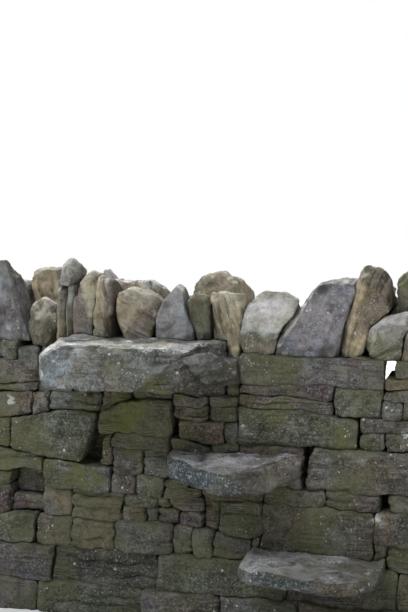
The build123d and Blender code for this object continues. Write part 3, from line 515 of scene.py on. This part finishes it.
TONES = {
    "olive": linear(92, 93, 74), "grey": linear(106, 107, 102), "brown": linear(99, 91, 81),
    "mauve": linear(104, 98, 100), "purple": linear(92, 76, 78), "dark": linear(72, 71, 64),
    "tan": linear(142, 133, 112), "blue": linear(122, 124, 127),
    "pale": linear(150, 152, 146), "rust": linear(110, 94, 77), "ochre": linear(128, 120, 97),
    "bark": linear(84, 79, 66), "pink": linear(150, 132, 124), "white": linear(200, 200, 202),
    "slate": linear(98, 97, 102), "moss": linear(108, 111, 50), "sage": linear(150, 160, 138),
    "lilac_lit": linear(222, 220, 230), "sky": linear(160, 170, 178), "fox": linear(126, 100, 72),
    "steel": linear(90, 100, 102), "teal": linear(60, 76, 84), "khaki": linear(106, 108, 86),
    "frost": linear(118, 127, 131), "bone": linear(232, 226, 230),
}

# Tones that the stones draw from, more often the ones that stand here twice
CHOICES = ["olive", "olive", "grey", "brown", "brown", "mauve", "mauve", "purple", "dark", "rust"]
COPE_CHOICES = ["olive", "grey", "brown", "khaki", "slate", "bark", "grey", "brown", "dark", "mauve"]

# Each photographed cope stone and step: two tones, the way from one to the other as shares of the stone's
# width and height, where between 0 and 1 they meet, and then moss and lichen
LOOKS = {
    "cope_big_dark 0": ("slate", "slate", 0, 1, 0.5, 0.10, 0.16),
    "cope_tan_back 0": ("tan", "pale", 1, 0, 0.7, 0.16, 0.10),
    "cope_dark_round 0": ("dark", "tan", 0, 1, 0.93, 0.22, 0.02),
    "cope_knob 0": ("tan", "brown", 0, 1, 0.5, 0.15, 0.02),
    "cope_knob 1": ("grey", "white", -1, 1, 0.4, 0.0, 0.15),
    "cope_pale_slip 0": ("pale", "olive", 0, -1, -0.3, 0.2, 0.1),
    "cope_fluted 0": ("brown", "tan", 1, 1, 1.1, 0.1, 0.02),
    "cope_fluted 1": ("pink", "white", 0, 1, 0.9, 0.0, 0.1),
    "cope_fluted 2": ("tan", "brown", 1, 0, 0.6, 0.05, 0.05),
    "cope_rounded_brown 0": ("tan", "brown", 1, -1, 0.1, 0.1, 0.08),
    "cope_ridge 0": ("tan", "pale", 0, 1, 0.85, 0.1, 0.05),
    "cope_smooth_triangle 0": ("blue", "blue", 0, 1, 0.5, 0.0, 0.0),
    "cope_arch 0": ("bark", "tan", 0, 1, 0.55, 0.1, 0.06),
    "cope_arch 1": ("olive", "bark", 0, 1, 0.5, 0.2, 0.0),
    "cope_wedge 0": ("bark", "tan", 1, 1, 0.75, 0.12, 0.05),
    "cope_pale 0": ("bark", "pale", 0, 1, 0.42, 0.05, 0.22),
    "cope_leaning_slab 0": ("slate", "slate", 0, 1, 0.5, 0.0, 0.17),
    "cope_tall_tan 0": ("ochre", "bark", 1, 0, 0.5, 0.1, 0.03),
    "cope_banded 0": ("grey", "olive", 0, -1, -0.4, 0.05, 0.12),
    "cope_green_back 0": ("dark", "olive", 0, 1, 0.6, 0.3, 0.02),
    "lower_step 0": ("grey", "bark", 1, 0, 0.6, 0.12, 0.22),
    "middle_step 0": ("steel", "brown", 1, 0, 0.62, 0.08, 0.20),
    "upper_step 0": ("frost", "grey", 1, 0, 0.3, 0.14, 0.27),
    "upper_step_bearer 0": ("olive", "dark", 1, 0, 0.6, 0.25, 0.12),
}
CORE_LOOK = ("dark", "bark", 0, 1, 0.5, 0.1, 0.0)
WALL_GROWTH, COPE_GROWTH = (0.22, 0.04), (0.15, 0.10)

# Growths, stains and painted sunlight of the photographed face: x, height and reach in millimetres, and kind;
# the bone patches are pale stone and partly a painted highlight of the sun on the cope's top
PATCHES = [
    (-450, 870, 26, "white"), (-520, 935, 60, "sky"), (-440, 975, 60, "sky"), (-375, 830, 16, "white"),
    (-470, 800, 18, "white"), (258, 505, 55, "fox"), (575, 285, 60, "bark"), (375, 940, 40, "sky"),
    (448, 897, 16, "white"), (150, 935, 24, "white"), (405, 720, 38, "moss"), (320, 722, 32, "sage"),
    (110, 705, 40, "white"), (-600, 650, 60, "sage"), (-372, 600, 40, "moss"), (-300, 745, 60, "moss"),
    (-330, 700, 60, "moss"), (-470, 770, 45, "moss"), (-290, 560, 34, "sky"), (340, 378, 20, "fox"),
    (460, 350, 34, "sky"), (430, 590, 36, "sky"), (560, 610, 18, "white"), (-400, 490, 40, "moss"),
    (-480, 500, 60, "moss"), (620, 420, 24, "white"), (700, 700, 22, "white"), (250, 760, 60, "moss"),
    (480, 700, 40, "moss"), (-760, 760, 30, "white"), (-60, 580, 75, "teal"), (45, 574, 85, "teal"),
    (150, 570, 85, "teal"), (-40, 520, 40, "moss"), (225, 1128, 46, "bone"), (150, 1112, 34, "bone"),
    (-835, 1170, 60, "sky"), (300, 285, 70, "teal"), (375, 278, 60, "teal"), (-340, 915, 45, "olive"),
    (-225, 930, 40, "olive"), (-120, 868, 60, "moss"),
]
# How much of a stone's colour a patch covers, and how much lichen and moss it adds
COVER, COVER_ELSE = {"teal": 0.8, "bone": 0.95}, 0.5
PATCH_LICHEN = {"white": 0.55, "sky": 0.28, "sage": 0.22, "bone": 0.1}
PATCH_MOSS = {"moss": 0.35}
# The speckled fronts of the steps: how far out they are, where they turn to the tread, and their lichen
SPECKLED_FROM, SPECKLED_TO, SPECKLED_LICHEN = -0.32, 0.8, 0.46
# How level a step's surface is where its pale top begins and is full, and how patchy it is: weathered stone
# and lichen, and partly a painted highlight from above
TREADS_AND_LIGHT = {"middle": (0.84, 0.96, 0.25), "lower": (0.8, 0.95, 0.3), "upper": (0.6, 0.95, 0.5)}
PLAIN_TREAD_AND_LIGHT = (0.4, 0.75, 0.5)
TREAD_LOST = 0.6                            # how much less pale the tread is in the stone's second tone
# Where two tones of a stone meet: how wide the blend is and how far it wanders
TONE_BLEND, TONE_WANDER = 0.09, 0.3
GAIN_SPREAD = (0.88, 1.12)
DARKEST, BRIGHTEST = 0.005, 0.62
LAYER_SQUEEZE, LAYER_SHARE = 0.2, 0.25
WARMER_COOLER = np.array([0.10, 0.0, -0.08])
LICHEN_SHIFT, BED_STARTS = 5, (-5, 5)
# How much growths vary, and how much more there is on top and at edges
MOSS_VARIES, MOSS_UP, MOSS_EDGE, LICHEN_VARIES, LICHEN_UP = 0.36, 0.10, 0.15, 0.42, 0.15
# Painted shade: how much a stone has underneath and in its hollows, which are deep from here to there, and
# near the ground, where it is partly damp as well
SHADE_UNDER, SHADE_IN_HOLLOWS, HOLLOW_FROM, HOLLOW_TO = 0.4, 0.25, 1 * MM, 5 * MM
SHADE_AND_DAMP_LOW, SHADE_AND_DAMP_TOP, SHADE_AND_DAMP_RISE = 0.35, 0.55, 0.45
BARE_AND_LIT_UNDER = 0.4                            # how pale an edge is that faces down against one that faces up: bare stone, and a painted highlight on the edges that face up
# Patches: how broken their edges are, how far those reach, and how speckled they are
PATCH_BROKEN, PATCH_EDGE, PATCH_SOFT, PATCH_FAR, PATCH_FRONT, PATCH_LEAST = 0.9, 1.15, 0.6, 1.5, 0.3, 0.3


def treaded_and_lit(stone, colour, p, up, second, tread_and_light):
    """Colour with the pale top: weathered stone and lichen, and partly a painted highlight of the light from
    above; less so where the stone's second tone is.
    """
    low, high, patchy = TREADS_AND_LIGHT.get(stone.kind, PLAIN_TREAD_AND_LIGHT)
    bright = tread_and_light * step(up + patchy * pattern("tread_and_light", p), low, high)[:, None] * (1 - TREAD_LOST * second)
    return colour * (1 - bright) + np.array(TONES["lilac_lit"]) * bright


def patched(stone, colour, moss, lichen):
    """Colour, moss and lichen with the patches that lie on the stone's front."""
    broken = PATCH_BROKEN * pattern("patches", stone.points)
    speckled = PATCH_LEAST + (1 - PATCH_LEAST) * step(pattern("speckles", stone.points), -0.25, 0.25)
    for x, z, reach, kind in PATCHES:
        far = np.hypot(stone.points[:, 0] - x * MM, stone.points[:, 2] - z * MM) / (reach * MM)
        if far.min() < PATCH_FAR:
            w = step(PATCH_EDGE - far + broken, 0.0, PATCH_SOFT) * (stone.normal[:, 1] < PATCH_FRONT)
            if kind == "teal":
                w = w * (stone.points[:, 1] < SPECKLED_FROM) * (stone.normal[:, 2] < SPECKLED_TO)
                lichen = lichen + w * (SPECKLED_LICHEN - lichen)
            else:
                w = w * speckled
            moss = moss + PATCH_MOSS.get(kind, 0) * w
            lichen = lichen + PATCH_LICHEN.get(kind, 0) * w
            cover = COVER.get(kind, COVER_ELSE) * w[:, None]
            colour = colour + cover * (np.array(TONES[kind]) - colour)
    return colour, moss, lichen


def paint(stone, look, bedding, gain=1.0, patches=False, tread_and_light=0.0, mottle=0.5):
    """Stone colour with its own mottling and painted light, and where growths sit: moss, lichen, painted
    shade that is partly damp, and the bare edge that is partly a painted highlight.
    """
    first, second, across, rise, meet, moss, lichen = look
    p = stone.points + stone.shift
    local = (stone.points - stone.lo) / (stone.hi - stone.lo)
    way = local[:, 0] * across + local[:, 2] * rise + TONE_WANDER * pattern("tones", p)
    share = step(way, meet - TONE_BLEND, meet + TONE_BLEND)[:, None]
    base = np.array(TONES[first]) * (1 - share) + np.array(TONES[second]) * share
    base = base * gain * stone.dice.uniform(*GAIN_SPREAD)
    spots = mottle * (pattern("mottling", p) + pattern("spots", p))
    layers = LAYER_SHARE * pattern("layers", squash(p, bedding, LAYER_SQUEEZE))
    colour = base * (1 + spots + layers)[:, None]
    colour = colour * (1 + pattern("warmth", p)[:, None] * WARMER_COOLER)
    up = np.clip(stone.normal[:, 2], 0, 1)
    moss = moss + MOSS_VARIES * pattern("moss", stone.points) + MOSS_UP * up + MOSS_EDGE * stone.edge
    lichen = lichen + LICHEN_VARIES * pattern("lichen", stone.points + LICHEN_SHIFT) + LICHEN_UP * up
    if tread_and_light:
        colour = treaded_and_lit(stone, colour, p, up, share, tread_and_light)
    colour = np.clip(colour, DARKEST, BRIGHTEST)
    if patches:
        colour, moss, lichen = patched(stone, colour, moss, lichen)
    # Painted shade under the stone and in its hollows, and darker near the ground, partly shade and partly
    # damp
    damp_and_shade = SHADE_UNDER * np.clip(-stone.normal[:, 2], 0, 1)
    damp_and_shade = damp_and_shade + SHADE_IN_HOLLOWS * step(-stone.hollow, HOLLOW_FROM, HOLLOW_TO)
    damp_and_shade = damp_and_shade + SHADE_AND_DAMP_LOW * step(SHADE_AND_DAMP_TOP - stone.points[:, 2], 0.0, SHADE_AND_DAMP_RISE)
    # The bare edge, pale stone and partly a painted highlight, stronger where it faces up
    upper = BARE_AND_LIT_UNDER + (1 - BARE_AND_LIT_UNDER) * step(stone.normal[:, 2], -0.2, 0.4)
    bare_and_lit = stone.edge * step(pattern("bare_and_lit", p), -0.2, 0.5) * upper
    along = stone.lined * (stone.points @ bedding) + stone.dice.uniform(*BED_STARTS)
    stone.tone = np.c_[colour, along]
    stone.growth = np.clip(np.c_[moss, lichen, damp_and_shade, bare_and_lit], 0, 1)


# Materials


class Tree:
    """Short calls for building a material's nodes."""

    def __init__(self, name):
        self.material = bpy.data.materials.new(name)
        self.material.use_nodes = True
        self.nodes = self.material.node_tree.nodes
        self.links = self.material.node_tree.links
        self.nodes.clear()

    def add(self, kind, inputs=(), **settings):
        node = self.nodes.new(kind)
        for key, value in settings.items():
            setattr(node, key, value)
        for key, value in dict(inputs).items():
            self.feed(node.inputs[key], value)
        return node

    def feed(self, socket, value):
        if hasattr(value, "links"):
            self.links.new(value, socket)
        else:
            socket.default_value = value

    def maths(self, operation, a, b):
        return self.add("ShaderNodeMath", {0: a, 1: b}, operation=operation).outputs[0]

    def times(self, a, b):
        return self.maths("MULTIPLY", a, b)

    def plus(self, a, b):
        return self.maths("ADD", a, b)

    def swing(self, value, amount, middle=0.5):
        """How far a value lies from its middle, times an amount."""
        return self.times(self.maths("SUBTRACT", value, middle), amount)

    def blend(self, factor, a, b, kind="MIX"):
        node = self.add("ShaderNodeMix", {0: factor}, data_type="RGBA", blend_type=kind)
        for key, value in ((6, a), (7, b)):
            self.feed(node.inputs[key], (*value, 1) if isinstance(value, tuple) else value)
        return node.outputs[2]

    def ramp(self, value, low, high):
        node = self.add("ShaderNodeMapRange", {0: value, 1: low, 2: high, 3: 0.0, 4: 1.0},
                        interpolation_type="SMOOTHSTEP")
        return node.outputs[0]

    def noise(self, where, scale, detail, rough=0.55):
        inputs = {"Vector": where, "Scale": scale, "Detail": detail, "Roughness": rough}
        return self.add("ShaderNodeTexNoise", inputs).outputs[0]

    def cells(self, where, scale):
        """Distance to the nearest of scattered points, and two chance numbers for each point."""
        node = self.add("ShaderNodeTexVoronoi", {"Vector": where, "Scale": scale, "Randomness": 1.0})
        chance = self.add("ShaderNodeSeparateColor", {0: node.outputs["Color"]}).outputs
        return node.outputs["Distance"], chance[0], chance[1]

    def surface(self, colour, rough, **more):
        """Ends the tree in a plain surface and gives the material."""
        inputs = {"Base Color": colour, "Roughness": rough, **more}
        shader = self.add("ShaderNodeBsdfPrincipled", inputs)
        self.add("ShaderNodeOutputMaterial", {0: shader.outputs[0]})
        return self.material


DARK_GRAIN, PALE_GRAIN, PIT = (0.46, 0.44, 0.42), (0.46, 0.45, 0.47), (0.03, 0.028, 0.022)
GROOVE, CREST = (0.035, 0.033, 0.026), (0.45, 0.44, 0.40)
ALGAE, YOUNG_MOSS = (0.100, 0.103, 0.050), (0.150, 0.160, 0.045)
# The second colour here is the dark of painted shade, partly damp near the ground
OLD_CRUST, SHADE_AND_DAMP = (0.34, 0.37, 0.33), (0.030, 0.031, 0.022)
# Noises: scale, detail and roughness
BROAD, FINE, SAND = (17, 4), (66, 5, 0.8), (135, 3, 0.85)
BED_PARTS, CLUSTERS, CRUST_GRAIN = (9, 2), (7, 3), (140, 3)
BED_STRETCH = (0.10, 0.10, 0.10)
DOT_SCALE, DOT_SIZE, DOT_LEAST, FLECK_SCALE, FLECK_SIZE = 52.0, 0.34, 0.02, 125.0, 0.4
BUMP_HEIGHT = 0.010
SHEEN = 0.25


def stone_material(name, grain, moss_colour, lichen_colour, relief, beds_scale, ribs, worn_and_lit, bright, dirt):
    """Weathered sandstone. grain is the colour of its broad mottling and dirt the strength of its dark
    spots; beds_scale and ribs say how fine and how strong its beds are, relief how deep its bump is, and
    worn and bright how far and to what colour its edges fade, as bare stone and partly a painted highlight."""
    t = Tree(name)
    where = t.add("ShaderNodeTexCoord").outputs["Object"]
    painted = t.add("ShaderNodeAttribute", attribute_name="tone").outputs
    tone, along = painted["Color"], painted["Alpha"]
    growth = t.add("ShaderNodeAttribute", attribute_name="growth")
    moss, lichen, damp_and_shade = t.add("ShaderNodeSeparateColor", {0: growth.outputs["Color"]}).outputs
    bare_and_lit = growth.outputs["Alpha"]
    broad, fine, sand = t.noise(where, *BROAD), t.noise(where, *FINE), t.noise(where, *SAND)

    # Dark and pale grain
    colour = t.blend(t.times(t.ramp(fine, 0.57, 0.43), dirt), tone, DARK_GRAIN, "MULTIPLY")
    colour = t.blend(t.ramp(broad, 0.45, 0.75), colour, t.blend(0.5, colour, grain))
    colour = t.blend(t.times(t.ramp(sand, 0.53, 0.66), 0.8), colour, t.blend(0.6, colour, PALE_GRAIN))
    colour = t.blend(t.times(t.ramp(sand, 0.46, 0.36), 0.8 * dirt), colour, PIT)

    # Beds, which run across the painted way along them, in parts of the stone
    slow = t.add("ShaderNodeMapping", {"Vector": where, "Scale": BED_STRETCH}).outputs[0]
    beds = t.add("ShaderNodeTexNoise", {"Vector": slow, "W": along, "Scale": beds_scale, "Detail": 3.0,
                                        "Roughness": 0.6}, noise_dimensions="4D").outputs[0]
    bedded = t.ramp(t.noise(where, *BED_PARTS), 0.38, 0.62)
    groove = t.times(t.ramp(beds, 0.52, 0.36), bedded)
    crest = t.times(t.ramp(beds, 0.55, 0.68), bedded)
    colour = t.blend(t.times(groove, ribs), colour, GROOVE)
    colour = t.blend(t.times(crest, 0.6 * ribs), colour, t.blend(0.5, colour, CREST))
    # Edges fade to a pale colour: bare stone, and partly a painted highlight
    colour = t.blend(t.times(bare_and_lit, worn_and_lit), colour, bright)

    # Thin algae, then moss
    green = t.plus(t.plus(moss, t.swing(fine, 0.7)), t.swing(sand, 0.35))
    colour = t.blend(t.times(t.ramp(green, 0.16, 0.36), 0.6), colour, ALGAE)
    colour = t.blend(t.times(t.ramp(green, 0.40, 0.72), 0.8), colour, t.blend(fine, moss_colour, YOUNG_MOSS))

    # Lichen: a crust, round dots and small flecks in clusters
    crust = t.plus(t.plus(lichen, t.swing(fine, 1.0)), t.swing(sand, 0.5))
    crust = t.ramp(crust, 0.52, 0.62)
    cluster = t.ramp(t.noise(where, *CLUSTERS), 0.46, 0.66)
    wanted = t.times(t.plus(t.times(lichen, 1.3), 0.16), cluster)
    distance, chance, size = t.cells(where, DOT_SCALE)
    spot = t.times(t.maths("LESS_THAN", chance, wanted), t.times(size, DOT_SIZE))
    dots = t.maths("LESS_THAN", distance, t.plus(spot, t.swing(sand, 0.4, 0.6)))
    dots = t.times(dots, t.maths("GREATER_THAN", spot, DOT_LEAST))
    distance, chance, size = t.cells(where, FLECK_SCALE)
    spot = t.times(t.maths("LESS_THAN", chance, wanted), t.times(size, FLECK_SIZE))
    flecks = t.maths("LESS_THAN", distance, spot)
    crust = t.maths("MAXIMUM", crust, t.maths("MAXIMUM", dots, t.times(flecks, 0.7)))
    pale = t.blend(t.ramp(t.noise(where, *CRUST_GRAIN), 0.35, 0.65), lichen_colour, OLD_CRUST)
    colour = t.blend(t.times(crust, 0.85), colour, pale)
    # Painted shade: darker under the stones, in their hollows and near the ground, where it is partly damp
    colour = t.blend(t.times(damp_and_shade, 0.5), colour, SHADE_AND_DAMP)

    height = t.plus(t.times(fine, 0.8), t.times(sand, 0.3))
    height = t.plus(height, t.times(t.times(beds, bedded), 4 * ribs))
    height = t.plus(height, t.times(crust, 0.12))
    bump = t.add("ShaderNodeBump", {"Strength": relief, "Distance": BUMP_HEIGHT, "Height": height}).outputs[0]
    rough = t.plus(0.80, t.times(fine, 0.16))
    return t.surface(colour, rough, Normal=bump, **{"Specular IOR Level": SHEEN})


MATERIALS = {
    "walling_stone": stone_material(
        "weathered_walling", grain=(0.16, 0.15, 0.13), moss_colour=(0.060, 0.068, 0.022),
        lichen_colour=(0.55, 0.58, 0.54), relief=0.9, beds_scale=120.0, ribs=0.6, worn_and_lit=0.6,
        bright=(0.33, 0.32, 0.28), dirt=1.0),
    "cope_stone": stone_material(
        "weathered_cope", grain=(0.25, 0.23, 0.20), moss_colour=(0.085, 0.088, 0.032),
        lichen_colour=(0.66, 0.66, 0.62), relief=0.9, beds_scale=70.0, ribs=0.75, worn_and_lit=1.3,
        bright=(0.62, 0.58, 0.50), dirt=0.45),
    "step_stone": stone_material(
        "worn_step", grain=(0.22, 0.22, 0.21), moss_colour=(0.075, 0.080, 0.032),
        lichen_colour=(0.62, 0.64, 0.66), relief=0.9, beds_scale=90.0, ribs=0.65, worn_and_lit=0.9,
        bright=(0.50, 0.51, 0.52), dirt=0.85),
    "hearting_stone": stone_material(
        "packed_rubble", grain=(0.10, 0.09, 0.08), moss_colour=(0.03, 0.034, 0.015),
        lichen_colour=(0.2, 0.2, 0.18), relief=1.0, beds_scale=60.0, ribs=0.1, worn_and_lit=0.2,
        bright=(0.2, 0.19, 0.17), dirt=1.0),
}

# The stones. Lengths are in millimetres, and a bedding is the way across the beds

WALL_GAIN = np.array([0.97, 1.02, 1.06])
# The share by which a cope's faces turned to the rear are painted darker: painted shade
COPE_GAIN, COPE_REAR_SHADE, STEP_GAIN = 1.84, 0.33, 1.14
# How strongly the tops are painted pale: weathered stone and lichen, and partly a painted highlight
COPE_TOP_PALE_AND_LIT, STEP_TREAD_PALE_AND_LIT = 0.4, 0.85
LEVEL = np.array([0.0, 0.05, 0.9987])
UPRIGHT = np.array([0.96, 0.0, 0.28])
BEDDINGS = {"cope_banded": np.array([-0.5, 0.0, 0.866]), "cope_rounded_brown": np.array([0.5, 0.0, 0.866]),
            "cope_leaning_slab": np.array([0.88, 0.0, -0.47]), "cope_tall_tan": np.array([0.93, 0.0, -0.37])}
SPACINGS = {"front": 7, "rear": 13, "cope": 6, "cope_run": 12, "head": 18, "step": 7.5}
# The left middle of the photographed face, where thin stones lie in layers
LAYERED_X, LAYERED_Z, LAYERED_CHANCE, CRACK_CHANCE = (-360, 220), (320, 540), 0.75, 0.22
RIBBED = ("cope_fluted", "cope_tan_back", "cope_tall_tan", "cope_banded", "cope_wedge", "cope_knob")
RIBS, COPE_BEDS, COPE_CHIPS = 6, 3, 9
# Cope stones that show hardly any beds, how mottled the others and some of these are, and the smooth one
PLAIN = ("cope_smooth_triangle", "cope_leaning_slab", "cope_pale", "cope_big_dark", "cope_dark_round")
PLAIN_BEDS = 0.12
MOTTLES, COPE_MOTTLE = {"cope_leaning_slab": 0.75, "cope_big_dark": 0.6, "cope_dark_round": 0.5}, 0.36
SMOOTH_SHARE = 0.4


def drawn_look(dice, kind):
    """A look for a stone that the photo doesn't set, drawn for every stone all the same."""
    choices = COPE_CHOICES if kind == "cope" else CHOICES
    tones = dice.choice(choices), dice.choice(choices)
    return (*tones, dice.choice((-1, 1)), dice.uniform(-1, 1), dice.uniform(0.5, 1.3))


def inside(value, span):
    """Whether a value lies between two others."""
    return span[0] < value < span[1]


def walling(stone, look):
    """A stone of the front or rear skin."""
    dice, front = stone.dice, stone.kind == "front"
    x, z = (stone.lo[0] + stone.hi[0]) / 2 / MM, (stone.lo[2] + stone.hi[2]) / 2 / MM
    stone.build(SPACINGS[stone.kind], radius=dice.uniform(1.2, 2.4), chips=dice.randint(2, 5),
                bite=dice.uniform(3, 12))
    layered = front and inside(x, LAYERED_X) and inside(z, LAYERED_Z)
    stone.crack(LAYERED_CHANCE if layered else CRACK_CHANCE)
    stone.weather(big=dice.uniform(1.5, 3.5), crest=dice.uniform(1.5, 4), small=dice.uniform(0.8, 1.6),
                  strata=dice.uniform(0.5, 5), bedding=LEVEL, nibble=10)
    paint(stone, (*look, *WALL_GROWTH), LEVEL, WALL_GAIN, patches=front)


def coping(stone, look, node, name):
    """A cope stone. What faces behind is painted darker, as painted shade against the sun that lights it
    there.
    """
    bedding = BEDDINGS.get(node, UPRIGHT)
    smooth = SMOOTH_SHARE if "smooth" in node else 1
    beds = RIBS if node in RIBBED else COPE_BEDS
    stone.build(SPACINGS["cope_run" if "run" in node else "cope"], radius=1.0,
                chips=int(COPE_CHIPS * smooth), bite=18)
    stone.weather(big=3 * smooth, crest=5 * smooth, small=1.2 * smooth, strata=beds * smooth,
                  bedding=bedding, nibble=7, swell=2)
    stone.lined = PLAIN_BEDS if node in PLAIN else 1.0
    # The gain paints the faces turned to the rear darker: painted shade
    paint(stone, LOOKS.get(name, (*look, *COPE_GROWTH)), bedding,
          COPE_GAIN * (1 - COPE_REAR_SHADE * step(stone.normal[:, 1:2], 0.1, 0.7)), patches=True,
          tread_and_light=COPE_TOP_PALE_AND_LIT if smooth == 1 else 0.0, mottle=MOTTLES.get(node, COPE_MOTTLE) * smooth)


def heading(stone, look):
    """A squared stone of a wall head."""
    stone.build(SPACINGS["head"], radius=2.5, chips=5, bite=14)
    stone.weather(big=3, crest=2, small=1, strata=2.5, bedding=LEVEL, nibble=8)
    paint(stone, (*look, *WALL_GROWTH), LEVEL, WALL_GAIN)


def packing(stone):
    """The core."""
    core_block(stone)
    stone.weather(big=2, crest=4, small=2, strata=0, bedding=LEVEL, nibble=0)
    paint(stone, CORE_LOOK, LEVEL)


def stepping(stone, name):
    """A through stone that stands out as a step, or the one that bears it."""
    stone.build(SPACINGS["step"], radius=3, chips=5, bite=12)
    stone.weather(big=4, crest=5, small=1.2, strata=5, bedding=LEVEL, nibble=14)
    paint(stone, LOOKS[name], LEVEL, STEP_GAIN, patches=True, tread_and_light=STEP_TREAD_PALE_AND_LIT)


for node in sorted(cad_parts):
    made = []
    for i, (co, tri) in enumerate(solids(node)):
        kind, name = node.split("_")[0], f"{node} {i}"
        stone = Stone(co, tri, kind, name)
        look = drawn_look(stone.dice, kind)
        if kind in ("front", "rear"):
            slot = "walling_stone"
            walling(stone, look)
        elif kind == "cope":
            slot = "cope_stone"
            coping(stone, look, node, name)
        elif kind in ("left", "right"):
            slot = "walling_stone"
            heading(stone, look)
        elif kind == "hearting":
            slot = "hearting_stone"
            packing(stone)
        else:
            slot = "step_stone"
            stepping(stone, name)
        made.append(stone)
    join(f"{node}_stone" if len(made) == 1 else f"{node}_stones", made, MATERIALS[slot], node)

# Floor

FLOOR_HALF = 14
floor_mesh = bpy.data.meshes.new("floor")
corners = [(x * FLOOR_HALF, y * FLOOR_HALF, 0) for x, y in ((-1, -1), (1, -1), (1, 1), (-1, 1))]
floor_mesh.from_pydata(corners, [], [(0, 1, 2, 3)])
floor = bpy.data.objects.new("floor", floor_mesh)
bpy.context.scene.collection.objects.link(floor)
floor_mesh.materials.append(Tree("pale_floor").surface((0.80, 0.80, 0.79, 1), 0.9))

# Light: a soft sky that the camera sees as white, a bright cloud behind the camera, and a sun beyond the
# wall, which leaves the photographed face in shade

world = bpy.data.worlds.new("studio")
bpy.context.scene.world = world
world.use_nodes = True
nodes, links = world.node_tree.nodes, world.node_tree.links
sky = nodes["Background"]
sky.inputs["Color"].default_value = (0.93, 0.96, 1.0, 1)
sky.inputs["Strength"].default_value = 0.5
seen = nodes.new("ShaderNodeLightPath")
white = nodes.new("ShaderNodeBackground")
white.inputs["Color"].default_value = (1, 1, 1, 1)
both = nodes.new("ShaderNodeMixShader")
links.new(seen.outputs["Is Camera Ray"], both.inputs[0])
links.new(sky.outputs[0], both.inputs[1])
links.new(white.outputs[0], both.inputs[2])
links.new(both.outputs[0], nodes["World Output"].inputs[0])


def far_lamp(name, energy, spread, colour, towards):
    """A lamp of parallel light that shines towards a direction."""
    lamp = bpy.data.lights.new(name, "SUN")
    lamp.energy, lamp.angle, lamp.color = energy, math.radians(spread), colour
    holder = bpy.data.objects.new(name, lamp)
    bpy.context.scene.collection.objects.link(holder)
    holder.rotation_euler = Vector(towards).to_track_quat("-Z", "Y").to_euler()


far_lamp("bright_cloud", 1.7, 35, (0.95, 0.97, 1.0), (0.35, 0.6, -1.0))
far_lamp("low_sun", 5.5, 4, (1.0, 0.95, 0.86), (0.45, -0.9, -0.9))

# Camera, placed and turned as it was worked out for the photo

SENSOR = 36
PHOTO_HEIGHT, FOCAL_PIXELS = 612, 1114
LOOKS_DOWN, LOOKS_LEFT = math.radians(4.926), math.radians(15)
lens = bpy.data.cameras.new("camera")
lens.sensor_width = SENSOR
lens.lens = FOCAL_PIXELS / PHOTO_HEIGHT * SENSOR
lens.clip_end = 60
camera = bpy.data.objects.new("camera", lens)
bpy.context.scene.collection.objects.link(camera)
camera.location = (1.0094, -4.0371, 1.470)
camera.rotation_euler = (math.radians(90) - LOOKS_DOWN, 0, LOOKS_LEFT)
bpy.context.scene.camera = camera
bpy.context.scene.view_settings.view_transform = "Standard"
